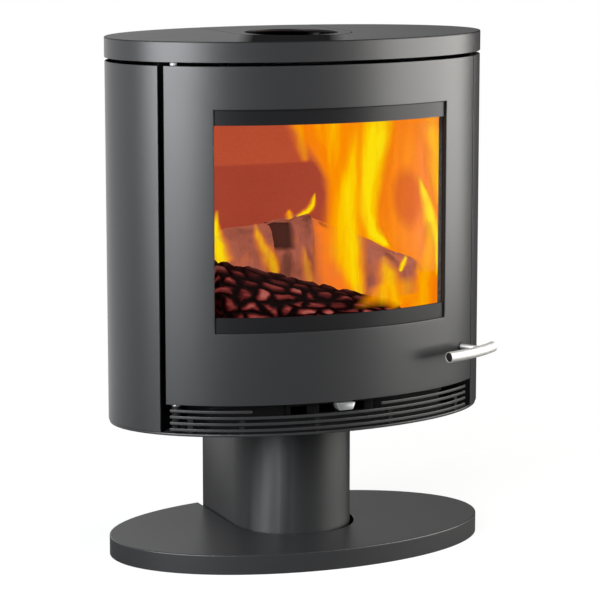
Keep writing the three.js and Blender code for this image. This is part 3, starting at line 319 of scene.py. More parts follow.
# %% Bare metals
def brushed_steel(name, stretch):
    """Bright steel whose roughness and bump follow a noise that is stretched along the brushing."""
    steel = Finish(name, metallic=1.0)
    lines = steel.noise(1.0, 4.0, 0.65, stretch)
    steel.set("Base Color", steel.blend((0.5, 0.495, 0.482), (0.62, 0.615, 0.6), lines))
    steel.set("Roughness", 0.56 + lines * 0.16)
    steel.bump(lines, 0.12, 0.00015)
    return steel.material


def zinc(name):
    """Dull plated steel with soft clouds."""
    plate = Finish(name, metallic=1.0)
    cloud = plate.noise(160.0, 4.0, 0.6)
    plate.set("Base Color", plate.blend((0.36, 0.37, 0.38), (0.56, 0.57, 0.57), cloud))
    plate.set("Roughness", 0.34 + cloud * 0.2)
    return plate.material


def cast_iron(name):
    """Dark iron with a coarse sand-cast grain and a little soot."""
    iron = Finish(name, metallic=0.55)
    sand = iron.noise(420.0, 5.0, 0.65)
    iron.set("Base Color", iron.blend((0.018, 0.017, 0.016), (0.06, 0.056, 0.052), sand))
    iron.set("Roughness", 0.58 + sand * 0.25)
    iron.bump(sand, 0.5, 0.0006)
    return iron.material


bar_steel = brushed_steel("bar_steel", (60, 60, 900))
plated_steel = zinc("plated_steel")
sooty_iron = cast_iron("sooty_iron")
print("metals", bar_steel.name, plated_steel.name, sooty_iron.name)

# %% [markdown]
# ## Fire materials
# The firebox is lined with vermiculite slabs. They are pale when new, but the fire paints them
# terracotta. Lamps inside the firebox could light them, but they would be noisy and lost in an export.
# So the glow is written as emission, and the lining looks lit by the fire in any room: reddish on the
# left, lighter above the joint of the back slabs, and orange towards the right, where the flames stand.

# %% Lining
brick = Finish("glowing_brick", emission_strength=1.0, specular_ior_level=0.15)
speckle = brick.cells(330.0)
patch = brick.noise(9.0, 4.0, 0.6)
streaks = brick.noise(1.0, 3.0, 0.5, (46, 30, 5), 0.3)
across, deep, up = brick.axes()
slab_joint, side_slab = 0.617, 0.19
upper = ((up - slab_joint) * 250.0).held()
terracotta = brick.blend((0.34, 0.048, 0.028), (0.52, 0.085, 0.034), upper * 0.7 + patch * 0.3)
rim_of_glow = 0.086 - ((up - 0.585) / 0.11).held() * 0.075 + streaks * 0.022
fire_share = ((across - rim_of_glow) * 55.0).held()
fire_colour = brick.blend((0.86, 0.17, 0.001), (1.0, 0.31, 0.001), streaks * 1.7 - 0.35)
side_wall = ((across - side_slab) * 300.0).held()
patch_y, patch_z = (deep + 0.018) / 0.052, (up - 0.566) / 0.045
dull_patch = (1.5 - (patch_y * patch_y + patch_z * patch_z) * 0.9).held() * side_wall
fire_colour = brick.blend(fire_colour, (0.62, 0.085, 0.008), dull_patch * 0.85)
warm = brick.blend(terracotta, fire_colour, fire_share)
grain = (speckle * 0.25 + (1 - patch) * 0.12) * (1 - fire_share * 0.85)
brick.set("Emission Color", brick.blend(warm, (0.22, 0.03, 0.016), grain))
brick.set("Base Color", brick.blend((0.04, 0.014, 0.009), (0.06, 0.026, 0.016), patch))
brick.set("Roughness", 0.85 + speckle * 0.1)
brick.bump(speckle, 0.35, 0.0008)
glowing_brick = brick.material
print("lining", glowing_brick.name)

# %% [markdown]
# A charred log has cracked into rounded blocks. A cell texture could draw the cracks, but they would not
# match the relief of the mesh. So the mesh carries two numbers for each point: `char` says how proud the
# point is of the cracks, and `glow` how much light from the embers reaches it. The material only turns
# them into emitted colours, which are painted firelight: dark red to dusty pink on the blocks, and black
# in the cracks, which is the char's own black and painted shade.

# %% Charred and split wood
charcoal = Finish("charcoal", emission_strength=1.0, specular_ior_level=0.04)
proud = charcoal.attribute("char")
lit = charcoal.attribute("glow")
ash = charcoal.noise(260.0, 5.0, 0.7, (1, 1, 2.5))
blocks = charcoal.ramp(
    (proud * 1.02 + ash * 0.4 - 0.19).held(),
    (0.0, (0.0006, 0.0, 0.0)),
    (0.36, (0.014, 0.0005, 0.001)),
    (0.58, (0.11, 0.0105, 0.011)),
    (0.8, (0.26, 0.042, 0.036)),
    (1.0, (0.4, 0.105, 0.085)),
)
charcoal.set("Emission Color", charcoal.blend((0.004, 0.0002, 0.0004), blocks, lit))
charcoal.set("Base Color", charcoal.blend((0.002, 0.001, 0.001), (0.012, 0.004, 0.004), proud))
charcoal.set("Roughness", 0.8 + ash * 0.15)
charcoal.bump(ash, 0.5, 0.001)

# The split wood's colour is all emission, painted firelight: `glow` adds the orange light of the flames,
# and `char` darkens scorch marks and the painted shade of the notch.
split = Finish("split_wood", emission_strength=1.0, specular_ior_level=0.04)
fibre = split.noise(1.0, 5.0, 0.65, (420, 420, 26), 0.3)
blotch = split.noise(24.0, 3.0, 0.5)
flame_light = split.attribute("glow")
scorch_and_notch_shade = split.attribute("char")
wood = split.blend((0.25, 0.065, 0.05), (0.55, 0.15, 0.085), fibre)
wood = split.blend(wood, (0.075, 0.018, 0.014), blotch ** 3 * 1.6)
wood = split.blend(wood, (0.95, 0.2, 0.004), flame_light)
split.set("Emission Color", split.blend(wood, (0.022, 0.006, 0.005), scorch_and_notch_shade))
split.set("Base Color", split.blend((0.02, 0.01, 0.008), (0.05, 0.025, 0.02), fibre))
split.set("Roughness", 0.85)
split.bump(fibre, 0.5, 0.0012)
print("wood", charcoal.material.name, split.material.name)

# %% [markdown]
# A flame is light without a surface. A volume would be truer, but slow and noisy, and no other program
# could read it. So each flame is a thin curved sheet whose points carry a `warmth`. It becomes colour,
# from red-orange at the rim to yellow in the middle, and a second number, `veil`, becomes the alpha, so
# that a flame fades out sideways and at its tip.

# %% Flames and embers
flame = Finish(
    "flame", base_color=(0, 0, 0), emission_strength=1.0, specular_ior_level=0.0, roughness=1.0
)
heat = flame.attribute("warmth")
streak = flame.noise(1.0, 3.0, 0.55, (95, 60, 13), 0.4)
hot = (heat + streak * 0.36 - 0.18).held()
flame.set(
    "Emission Color",
    flame.ramp(
        hot,
        (0.0, (0.93, 0.17, 0.002)),
        (0.3, (1.0, 0.27, 0.0)),
        (0.55, (1.0, 0.41, 0.0)),
        (0.78, (1.0, 0.59, 0.0)),
        (1.0, (1.0, 0.77, 0.004)),
    ),
)
flame.set("Alpha", (flame.attribute("veil") * (0.75 + streak * 0.5)).held())

ember = Finish("ember_bed", emission_strength=1.0, specular_ior_level=0.1, roughness=0.9)
glow = ember.attribute("glow")
crumbs = ember.noise(150.0, 4.0, 0.6)
ember.set(
    "Emission Color",
    ember.ramp(
        (glow + crumbs * 0.5 - 0.25).held(),
        (0.0, (0.01, 0.002, 0.001)),
        (0.45, (0.25, 0.02, 0.003)),
        (0.75, (0.95, 0.2, 0.01)),
        (1.0, (1.0, 0.5, 0.03)),
    ),
)
ember.set("Base Color", ember.blend((0.03, 0.025, 0.02), (0.14, 0.12, 0.11), crumbs))
ember.bump(crumbs, 0.6, 0.001)
print("fire", flame.material.name, ember.material.name)

# %% [markdown]
# ## Glass and rope
# The door glass is clear ceramic. It is thin, so bending the light would only cost time: a Mix Shader
# lets light straight through and adds a mirror by Fresnel. A band of black enamel is printed along its
# top and its bottom. The height decides where the band is, so its edge follows the curve of the glass.

# %% Door glass
band_bottom, band_top = 0.4115, 0.7135
glass = Finish(
    "door_glass", base_color=(0.006, 0.006, 0.0065), roughness=0.34, specular_ior_level=0.22
)
height = glass.axes()[2]
band = (height - band_top).math("GREATER_THAN", 0) + (band_bottom - height).math("GREATER_THAN", 0)
mirror_share = glass.add("ShaderNodeFresnel", sockets={"IOR": 1.45})
clear = glass.add("ShaderNodeBsdfTransparent", sockets={"Color": (0.985, 0.975, 0.96)})
mirror = glass.add("ShaderNodeBsdfGlossy", sockets={"Color": (0.9, 0.9, 0.9), "Roughness": 0.03})
pane = glass.add("ShaderNodeMixShader", sockets={0: mirror_share * 0.004, 1: clear, 2: mirror})
glass.finish_with(
    glass.add("ShaderNodeMixShader", sockets={0: band.held(), 1: pane, 2: glass.principled()})
)
print("clear glass from", band_bottom / MM, "to", band_top / MM, "mm")

# %% [markdown]
# The door closes on a woven glass-fibre rope, and the pane lies on a tape of the same stuff. The weave
# is a millimetre wide, so cells in the colour and the bump are enough. The last lines give each slot of
# the CAD model its finish.

# %% Rope, and a finish for each slot
rope = Finish("rope", roughness=1.0, specular_ior_level=0.1)
braid = rope.cells(260.0)
rope.set("Base Color", rope.blend((0.012, 0.012, 0.012), (0.05, 0.048, 0.045), braid))
rope.bump(braid, 0.8, 0.001)
finish_of_slot = {
    "black_paint": satin_paint,
    "dark_steel": matt_black_and_shade,
    "brushed_steel": bar_steel,
    "zinc_steel": plated_steel,
    "cast_iron": sooty_iron,
    "firebrick": glowing_brick,
    "glass": glass.material,
    "gasket": rope.material,
    "charred_wood": charcoal.material,
    "split_wood": split.material,
}
print(len(finish_of_slot), "finishes")

# %% [markdown]
# ## Dressing the CAD solids
# A imported solid is a heap of loose triangles with knife-sharp edges. Its edges could be bevelled by hand
# in Edit Mode, but the mesh stays as it is. Three modifiers turn it into sheet metal without
# touching it: Weld joins the triangles, Decimate merges those that lie in one plane, and Bevel breaks
# the edges. Smooth shading runs over the small steps of the curves.


# %% Finishes on every solid
def dress(node, edge=0.5):
    """Gives a CAD solid its slot's finish, welded faces and an edge that is broken by so many mm."""
    piece = nodes[node]
    piece.data.materials.clear()
    piece.data.materials.append(finish_of_slot[slot_of_node[node]])
    piece.data.polygons.foreach_set("use_smooth", np.ones(len(piece.data.polygons), bool))
    weld = piece.modifiers.new("weld", "WELD")
    weld.merge_threshold = 2e-5
    planes = piece.modifiers.new("planes", "DECIMATE")
    planes.decimate_type = "DISSOLVE"
    planes.angle_limit = math.radians(0.5)
    bevel = piece.modifiers.new("edge", "BEVEL")
    bevel.width, bevel.segments, bevel.angle_limit = edge * MM, 2, math.radians(32)
    bevel.harden_normals = True


for node in nodes:
    dress(node, 0.25 if "screw" in node or "washer" in node else 0.5)
# The column gets the shaded copy of the paint, painted shade under the body.
own_finish = {"column": shaded_column_paint, "door_inner_frame": matt_black_and_shade, "lever_knob": plated_steel}
for node, finish in own_finish.items():
    nodes[node].data.materials[0] = finish
print("dressed", len(nodes), "solids")

# %% [markdown]
# ## Surfaces from arrays
# Every new shape below is a grid of points: rows of closed rings, or a plain sheet. Two helpers are
# enough. One joins the points of neighbouring rings with quads, and one writes points and faces into a
# mesh in one go, which is far quicker than adding them one by one. A closed shape whose volume comes out
# negative is turned round, so that its faces point outwards.


# %% Rings to faces
def quads_between(rings, around, wrap_rings=False, wrap_around=True):
    """Quads of a grid: point k of ring j joins its neighbours in the ring and in the next ring."""
    ring = np.arange(rings if wrap_rings else rings - 1)
    step = np.arange(around if wrap_around else around - 1)
    j, k = (grid.ravel() for grid in np.meshgrid(ring, step, indexing="ij"))
    j2, k2 = (j + 1) % rings, (k + 1) % around
    return np.stack([j * around + k, j * around + k2, j2 * around + k2, j2 * around + k], 1)


def signed_volume(points, faces):
    """Six times the volume: the sum of the triple products of each face's fan of triangles."""
    total = 0.0
    for face in faces:
        fan = points[np.asarray(face)]
        first, second = fan[:, 1:-1], fan[:, 2:]
        total += (fan[:, :1] * np.cross(first, second)).sum()
    return total


def make_piece(name, points, face_groups, material, closed=True, bevel_normals=True, numbers=None):
    """Points in millimetres and groups of faces with as many corners each become a mesh in metres."""
    points = np.asarray(points, float).reshape(-1, 3)
    groups = [np.asarray(group).reshape(len(group), -1) for group in face_groups]
    if closed and signed_volume(points, groups) < 0:
        groups = [group[:, ::-1] for group in groups]
    corners = np.concatenate([group.ravel() for group in groups])
    sizes = np.concatenate([np.full(len(group), group.shape[1]) for group in groups])
    mesh = bpy.data.meshes.new(name)
    mesh.vertices.add(len(points))
    mesh.vertices.foreach_set("co", (points * MM).astype(np.float32).ravel())
    mesh.loops.add(len(corners))
    mesh.loops.foreach_set("vertex_index", corners.astype(np.int32))
    mesh.polygons.add(len(sizes))
    starts = np.concatenate([[0], np.cumsum(sizes)[:-1]])
    mesh.polygons.foreach_set("loop_start", starts.astype(np.int32))
    mesh.update(calc_edges=True)
    mesh.polygons.foreach_set("use_smooth", np.ones(len(sizes), bool))
    for label, values in (numbers or {}).items():
        layer = mesh.attributes.new(label, "FLOAT", "POINT")
        layer.data.foreach_set("value", np.asarray(values, np.float32).ravel())
    mesh.materials.append(material)
    piece = bpy.data.objects.new(name, mesh)
    bpy.context.scene.collection.objects.link(piece)
    if bevel_normals:
        weighted = piece.modifiers.new("flat_faces", "WEIGHTED_NORMAL")
        weighted.weight, weighted.keep_sharp = 100, True
    return piece


def stacked(name, rings, material, body, replaces=(), slot=None, wrap=False, **more):
    """A closed surface through a list of rings with as many points each. It is shut with a face at each
    end, or, with wrap, its last ring joins its first."""
    rings = np.asarray(rings, float)
    count, around = rings.shape[:2]
    groups = [quads_between(count, around, wrap_rings=wrap)]
    if not wrap:
        groups.append(np.arange(around)[None, ::-1])
        groups.append(np.arange(around)[None] + (count - 1) * around)
    piece = make_piece(name, rings.reshape(-1, 3), groups, material, **more)
    return settle(piece, body, replaces)


def settle(piece, body, replaces=()):
    """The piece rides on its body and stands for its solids."""
    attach(piece, body)
    if replaces:
        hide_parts(*replaces)
    return piece


# %% [markdown]
# ## The oval
# The plan of the body is an ellipse 638 mm wide and 381 mm deep. A point of any sheet has an angle
# along the ellipse, counted from the front, and an inset behind the outer face along the normal. The
# side panels, the door, the grille and the glass all use this one function, so they stay parallel.

# %% Ovals and rounded edges
BODY = (319.0, 190.5)
BASE = (319.5, 196.0)


def on_oval(angle, inset=0.0, oval=BODY):
    """x, y of a point: (a sin t, -b cos t) moved in along the unit normal by the inset."""
    a, b = oval
    across, deep = b * np.sin(angle), -a * np.cos(angle)
    length = np.hypot(across, deep)
    return a * np.sin(angle) - inset * across / length, -b * np.cos(angle) - inset * deep / length


def front_angle(x):
    """The angle of a point of the front that lies x mm to the right of the middle."""
    return np.arcsin(np.asarray(x, float) / BODY[0])


def edge_rounding(radius, steps=3):
    """Pairs (inward shift, distance from the face) of a quarter round: r(1 - sin), r(1 - cos)."""
    turn = np.linspace(0, np.pi / 2, steps + 1)
    return [(radius * (1 - math.sin(t)), radius * (1 - math.cos(t))) for t in turn]


def curved_slab(name, angles, insets, levels, material, body, radius=0.6, steps=40, **more):
    """A sheet bent along the oval: a rounded rectangle of inset and height carried from one angle to
    another. Near each end it shrinks by r(1 - sin t) while it travels r(1 - cos t), which rounds it."""
    start, end = angles
    reach = end - start
    speed = np.hypot(BODY[0] * np.cos(start), BODY[1] * np.sin(start))
    rounds = edge_rounding(radius)
    stations = [(start + along / speed, shrink) for shrink, along in rounds]
    stations += [(start + reach * k / steps, 0.0) for k in range(1, steps)]
    stations += [(end - along / speed, shrink) for shrink, along in rounds[::-1]]
    rings = []
    for angle, shrink in stations:
        section = rounded_rectangle(*insets, *levels, radius, shrink)
        x, y = on_oval(angle, section[:, 0])
        rings.append(np.stack([x, y, section[:, 1]], 1))
    return stacked(name, rings, material, body, **more)


def rounded_rectangle(u0, u1, v0, v1, radius, shrink=0.0, steps=3):
    """A ring of points: the four corner arcs of a rectangle that has shrunk on every side."""
    r = max(radius - shrink, 1e-4)
    turn = np.linspace(0, np.pi / 2, steps + 1)
    corners = ((u1, v1, 0), (u0, v1, 1), (u0, v0, 2), (u1, v0, 3))
    points = []
    for u, v, quarter in corners:
        cu = u - (radius if quarter in (0, 3) else -radius)
        cv = v - (radius if quarter in (0, 1) else -radius)
        angle = turn + quarter * np.pi / 2
        points.append(np.stack([cu + r * np.cos(angle), cv + r * np.sin(angle)], 1))
    return np.concatenate(points)


print("front of the door at x 0 is at y", round(float(on_oval(0.0)[1]), 1))

# %% [markdown]
# ## Side panels
# The sides are bent sheet steel, 3 mm thick. A plane with Solidify and Bevel would bend in visible
# steps. Here a rounded rectangle travels along the oval, so that the faces are smooth and each edge has
# a real round of 0.9 mm, which catches the light. The seams beside the door stay open by 2 mm.

# %% Panels
SEAM, BACK_SEAM = 273.0, 150.0
BODY_FLOOR, BODY_TOP = 226.3, 805.0
seam_angle = float(front_angle(SEAM))
rear_angle = math.pi - math.asin(BACK_SEAM / BODY[0])
panel_levels = (BODY_FLOOR, BODY_TOP)
for side, name in ((-1, "left_side_panel"), (1, "right_side_panel")):
    angles = sorted((side * seam_angle, side * (rear_angle - 0.001)))
    curved_slab(
        name + "_sheet", angles, (0, 3), panel_levels, satin_paint, "stove",
        radius=0.9, steps=72, replaces=[name], slot="black_paint",
    )
print("panels from x", SEAM, "to the back seams at", BACK_SEAM)

# %% [markdown]
# ## Door panel
# The door is one sheet with a window. A Boolean could cut the window out of a bent slab, but it leaves
# ragged triangles along the curve. So the surface is a torus of rings: they run round the outer edge,
# over the front to the window, round the window's edge and back behind. Each point has a place x, z on
# the flat sheet and an inset, and the oval turns x into an angle.


# %% Door panel
def rectangle_ring(x0, x1, z0, z1, across=44, high=24):
    """Points round a rectangle, with as many on each side, so that rings of any size match."""
    s, u = (np.linspace(0, 1, count, endpoint=False) for count in (across, high))
    wide, tall = x1 - x0, z1 - z0
    x = np.concatenate([x0 + wide * s, np.full(high, x1), x1 - wide * s, np.full(high, x0)])
    z = np.concatenate([np.full(across, z0), z0 + tall * u, np.full(across, z1), z1 - tall * u])
    return np.stack([x, z], 1)


DOOR = (-266.0, 271.0, 272.0, 805.0)
WINDOW = (-200.0, 200.0, 387.0, 738.0)
DOOR_SHEET = 6.0


def grown(box, d):
    """A rectangle x0, x1, z0, z1 made larger by d on every side."""
    return box[0] - d, box[1] + d, box[2] - d, box[3] + d


def framed_sheet(outer, inner, inset0, inset1, edge, across=12):
    """Rings of a flat frame with rounded edges: outer edge, front, inner edge and back, as a torus."""
    rounds = edge_rounding(edge)
    flat = [(grown(outer, -s), inset0 + a) for s, a in rounds[::-1]]
    for k in range(1, across):
        share = k / across
        box = [o + (i - o) * share for o, i in zip(grown(outer, -edge), grown(inner, edge))]
        flat.append((box, inset0))
    flat += [(grown(inner, s), inset0 + a) for s, a in rounds]
    flat += [(inner, inset1), (outer, inset1)]
    rings = []
    for box, inset in flat:
        ring = rectangle_ring(*box)
        x, y = on_oval(front_angle(ring[:, 0]), inset)
        rings.append(np.stack([x, y, ring[:, 1]], 1))
    return rings


stacked(
    "door_sheet", framed_sheet(DOOR, WINDOW, 0.0, DOOR_SHEET, 0.8), satin_paint, "door",
    ["door_panel"], "black_paint", wrap=True,
)
print("window", WINDOW[1] - WINDOW[0], "x", WINDOW[3] - WINDOW[2], "mm")

# %% [markdown]
# ## Hinge lugs
# Two round lugs are welded behind the left edge of the door, and the hinge pins stand in them. A
# cylinder with a hole cut by a Boolean would do. A turned profile gives the same with clean rounded
# rims: a list of (distance along the axis, radius) that runs up the outside and down the bore.


# %% Tubes and turned shapes
def revolved(name, start, direction, profile, material, body, around=40, **more):
    """A turned shape: each profile point (distance along, radius) becomes a ring about the axis."""
    axis = np.array(direction, float)
    axis /= np.linalg.norm(axis)
    side = np.cross(axis, (0.0, 0.0, 1.0))
    side = side / np.linalg.norm(side) if np.linalg.norm(side) > 1e-6 else np.array([1.0, 0.0, 0.0])
    other = np.cross(axis, side)
    turn = np.linspace(0, 2 * np.pi, around, endpoint=False)
    circle = np.cos(turn)[:, None] * side + np.sin(turn)[:, None] * other
    rings = [np.array(start, float) + axis * along + circle * radius for along, radius in profile]
    return stacked(name, rings, material, body, **more)


def tube_profile(length, outer, inner, edge=0.5):
    """Profile of a pipe with rounded rims, closed on itself."""
    rounds = edge_rounding(edge)
    outside = [(a, outer - s) for s, a in rounds] + [(length - a, outer - s) for s, a in rounds[::-1]]
    bore = [(length - a, inner + s) for s, a in rounds] + [(a, inner + s) for s, a in rounds[::-1]]
    return outside + bore


HINGE = (-248.485, -104.305)
LUG_RADIUS, LUG_HEIGHT, PIN_RADIUS = 7.0, 14.0, 3.5
for name, bottom in (("lower_lug", 272.3), ("upper_lug", 790.7)):
    revolved(
        name, (*HINGE, bottom), (0, 0, 1), tube_profile(LUG_HEIGHT, LUG_RADIUS, PIN_RADIUS + 0.3),
        satin_paint, "door", wrap=True, slot="black_paint",
    )
print("lugs", LUG_HEIGHT, "mm high")

# %% [markdown]
# In the slit between the door and the lid a pale washer shows on the upper hinge pin. It is a short
# pipe, made with the same profile as the lugs.

# %% Pale washer
WASHER_FOOT, WASHER_HEIGHT, WASHER_RADIUS = 805.4, 4.8, 5.4
pale = Finish("pale_washer", base_color=(0.4, 0.4, 0.4), roughness=0.5)
revolved(
    "upper_washer", (*HINGE, WASHER_FOOT), (0, 0, 1),
    tube_profile(WASHER_HEIGHT, WASHER_RADIUS, PIN_RADIUS + 0.1, 0.3), pale.material,
    "door", wrap=True, slot="zinc_steel",
)
print("washer", 2 * WASHER_RADIUS, "mm wide")

# %% [markdown]
# ## Handle
# The handle is a brushed steel tube, open at both ends, on a round post. It bends with the door. A
# bezier curve with a bevel gives such a bar, but without a wall. Here its axis is an arc of 270 mm
# radius that passes 44.5 mm in front of the door's face, and each ring of the pipe's profile stands
# square to that arc. A dark core closes the bore: painted shade inside the tube. The post enters the
# door through a black sleeve, which is painted shade in the hole round the post.

# %% Handle bar
HANDLE_X, HANDLE_Z = 240.7, 332.4
post_foot = np.array([*on_oval(float(front_angle(HANDLE_X))), HANDLE_Z])
outward = np.array([0.56604, -0.82438, 0.0])
rightward = np.array([0.82438, 0.56604, 0.0])
upward = np.array([0.0, 0.0, 1.0])
BAR_RADIUS, BAR_WALL = 8.7, 1.0
BAR_LEFT, BAR_RIGHT = 92.0, 31.0
BAR_BEND, BAR_STANDOFF, BAR_DROP = 270.0, 44.5, 1.5
BAR_LENGTH = BAR_LEFT + BAR_RIGHT


def bent_bar(profile, around=56):
    """Rings along the arc: each profile point is (distance along from the left end, radius)."""
    turn = np.linspace(0, 2 * np.pi, around, endpoint=False)[:, None]
    rings = []
    for along, radius in profile:
        bend = (along - BAR_LEFT) / BAR_BEND
        away = outward * math.cos(bend) + rightward * math.sin(bend)
        middle = post_foot + outward * (BAR_STANDOFF - BAR_BEND) + away * BAR_BEND - upward * BAR_DROP
        rings.append(middle + radius * (np.cos(turn) * away + np.sin(turn) * upward))
    return rings


rims = tube_profile(BAR_LENGTH, BAR_RADIUS, BAR_RADIUS - BAR_WALL, 0.45)
quarter = len(rims) // 4
between = np.linspace(4, BAR_LENGTH - 4, 36)
bar_profile = rims[:quarter] + [(a, BAR_RADIUS) for a in between] + rims[quarter : 3 * quarter]
bar_profile += [(a, BAR_RADIUS - BAR_WALL) for a in between[::-1]] + rims[3 * quarter :]
stacked(
    "handle_tube", bent_bar(bar_profile), bar_steel, "latch", ["handle_bar"], "brushed_steel", wrap=True
)

# %% Painted shade: the core of the handle and the sleeve
CORE_DEPTH, CORE_POLE = 1.2, 0.4
CORE_PLAY, SLEEVE_SUNK = 0.03, 0.4
SLEEVE_LENGTH, SLEEVE_RADIUS, SLEEVE_BORE = 1.2, 6.3, 4.35
bore = BAR_RADIUS - BAR_WALL - CORE_PLAY
core = [(CORE_DEPTH, CORE_POLE), (CORE_DEPTH, bore), *((a, bore) for a in between)]
core += [(BAR_LENGTH - CORE_DEPTH, bore), (BAR_LENGTH - CORE_DEPTH, CORE_POLE)]
# Painted shade: a matt black core inside the open tube.
stacked("handle_bore_shade", bent_bar(core), matt_black_and_shade, "latch", slot="dark_steel")
# Painted shade: a black sleeve round the post where it enters the door.
revolved(
    "post_hole_shade", post_foot - outward * SLEEVE_SUNK, outward,
    tube_profile(SLEEVE_LENGTH, SLEEVE_RADIUS, SLEEVE_BORE, 0.3), matt_black_and_shade, "door",
    wrap=True, slot="dark_steel",
)
print("handle", BAR_LENGTH, "mm long")

# %% [markdown]
# ## Lid
# The lid is a cap with a 5 mm skin, cut open to the back by a U. Solidify could give it the skin, but
# not the different rounds of its top edge and its rim. So it is a stack of outlines: the outline of each
# level is the plan moved in by some distance, from the ceiling inside, down the inner wall, round the
# rim, up and over the top.


# %% Outlines and their offsets
def moved_in(outline, distance):
    """A closed outline moved in by a distance: each corner moves along the mitre of its two edges."""
    before, after = np.roll(outline, 1, 0), np.roll(outline, -1, 0)
    normals = []
    for first, second in ((before, outline), (outline, after)):
        edge = second - first
        normal = np.stack([-edge[:, 1], edge[:, 0]], 1)
        normals.append(normal / np.linalg.norm(normal, axis=1)[:, None])
    mitre = (normals[0] + normals[1]) / (1 + (normals[0] * normals[1]).sum(1))[:, None]
    return outline + mitre * distance


def u_path(half_width, centre_y, back_y, steps=48):
    """A U open to the back, from its left back corner round the front to the right one."""
    turn = np.linspace(np.pi, 2 * np.pi, steps)
    arc = np.stack([half_width * np.cos(turn), centre_y + half_width * np.sin(turn)], 1)
    straight = np.linspace(back_y, centre_y, 8, endpoint=False)[:, None]
    left = np.concatenate([np.full_like(straight, -half_width), straight], 1)
    return np.concatenate([left, arc, left[::-1] * (-1, 1)])


def notched_oval(oval, half_width, centre_y, steps=220):
    """The oval's plan with a U cut out of its back, counterclockwise."""
    meet = np.pi - math.asin(half_width / oval[0])
    x, y = on_oval(np.linspace(-meet, meet, steps), 0.0, oval)
    x[0], x[-1] = -half_width, half_width
    back_y = float(y[0])
    notch = u_path(half_width, centre_y, back_y)[1:-1]
    return np.concatenate([np.stack([x, y], 1), notch[::-1]])


def cap_levels(low, high, skin, edge, rim=0.6):
    """(inset, height) pairs of a hollow cap from its ceiling round the rim to its top face."""
    third = rim * 0.3
    levels = [(skin, high - skin), (skin, low + rim), (skin - third, low + third), (skin - rim, low)]
    levels += [(s, low + a) for s, a in edge_rounding(rim)]
    levels += [(s, high - a) for s, a in edge_rounding(edge, 4)[::-1]]
    return levels + [(edge + 1.5, high)]


def at_height(outline, z):
    """A flat outline lifted to the height z."""
    return np.concatenate([outline, np.full((len(outline), 1), z)], 1)


LID_LOW, LID_HIGH, LID_SKIN, LID_OVERHANG = 810.6, 843.0, 5.0, 0.5
INSERT_HALF, FLUE_Y, FLUE_RADIUS = 98.0, 17.0, 76.0
LID_OVAL = (BODY[0] + LID_OVERHANG, BODY[1] + LID_OVERHANG)
lid_plan = notched_oval(LID_OVAL, INSERT_HALF + 0.5, FLUE_Y)
lid_levels = cap_levels(LID_LOW, LID_HIGH, LID_SKIN, 1.6)
stacked(
    "lid", [at_height(moved_in(lid_plan, inset), z) for inset, z in lid_levels],
    lid_finish.material, "stove", ["top_plate"], "black_paint",
)
print("lid", LID_HIGH - LID_LOW, "mm high")

# %% [markdown]
# A second cap fills the U and holds the round opening for the flue pipe. Its rings have to pass from a
# U-shaped outline to a circle without twisting, so each point of the circle lies in the direction of the
# outline's own point, seen from the middle of the flue.


# %% Insert with the flue opening
def insert_plan(half_width, centre_y, oval, steps=30):
    """The U's area up to the oval's back edge, counterclockwise from the right back corner."""
    meet = math.asin(half_width / oval[0])
    x, y = on_oval(np.pi + np.linspace(-meet, meet, steps), 0.0, oval)
    back = np.stack([x, y], 1)[1:-1]
    return np.concatenate([u_path(half_width, centre_y, float(y[0])), back])


def circle_facing(outline, centre, radius):
    """Points of a circle, each in the direction of the outline's own point, so that rings match."""
    away = outline - centre
    return centre + away / np.linalg.norm(away, axis=1)[:, None] * radius


plan = insert_plan(INSERT_HALF, FLUE_Y, LID_OVAL)
flue_centre = np.array([0.0, FLUE_Y])
rings = [at_height(moved_in(plan, inset), z) for inset, z in lid_levels]
hole = [(FLUE_RADIUS + s, LID_HIGH - a) for s, a in edge_rounding(1.2, 4)]
hole += [(FLUE_RADIUS, LID_HIGH - LID_SKIN)]
rings += [at_height(circle_facing(plan, flue_centre, r), z) for r, z in hole]
stacked("lid_insert", rings, lid_finish.material, "stove", ["top_insert"], "black_paint", wrap=True)
print("flue opening", 2 * FLUE_RADIUS, "mm")

# %% [markdown]
# ## Foot
# The foot is a cap of the same kind as the lid, 32 mm high, with a notch cut into its back. It could be
# a cube with Bevel and Solidify, but the plan is an oval. The lid's outlines and levels make it too,
# with an oval of its own and a slightly larger round.

# %% Foot cover
NOTCH_HALF, NOTCH_Y, FOOT_HEIGHT = 103.3, 17.0, 32.0
foot_plan = notched_oval(BASE, NOTCH_HALF, NOTCH_Y)
stacked(
    "foot_cover",
    [at_height(moved_in(foot_plan, inset), z) for inset, z in cap_levels(0.0, FOOT_HEIGHT, 5.0, 1.8)],
    satin_paint, "stove", ["base_cover"], "black_paint",
)
print("foot", 2 * BASE[0], "x", 2 * BASE[1], "mm")

# %% [markdown]
# ## Grille
# Four thin ribs follow the body under the door, and room air enters between them. The top one stops on
# both sides of the air lever, so that the lever can slide. An Array would keep them straight, so each
# rib is a slab bent along the oval, and five dark uprights carry them from behind.

# %% Ribs
RIB_TOP, RIB_PITCH, RIB_HEIGHT = 259.8, 9.95, 4.5
RIB_LEFT, LEVER_LEFT, LEVER_RIGHT, RIB_RIGHT = -261.5, -145.0, 72.0, 258.0
UPRIGHT_HALF = 4
rib_spans = [[(RIB_LEFT, LEVER_LEFT), (LEVER_RIGHT, RIB_RIGHT)]] + [[(RIB_LEFT, RIB_RIGHT)]] * 3
for row, spans in enumerate(rib_spans):
    low = RIB_TOP - row * RIB_PITCH
    for part, span in enumerate(spans):
        curved_slab(
            f"rib_{row + 1}_{part + 1}", front_angle(span), (1.0, 4.0), (low, low + RIB_HEIGHT),
            satin_paint, "stove", radius=0.7, steps=60, replaces=["vent_grille"], slot="black_paint",
        )
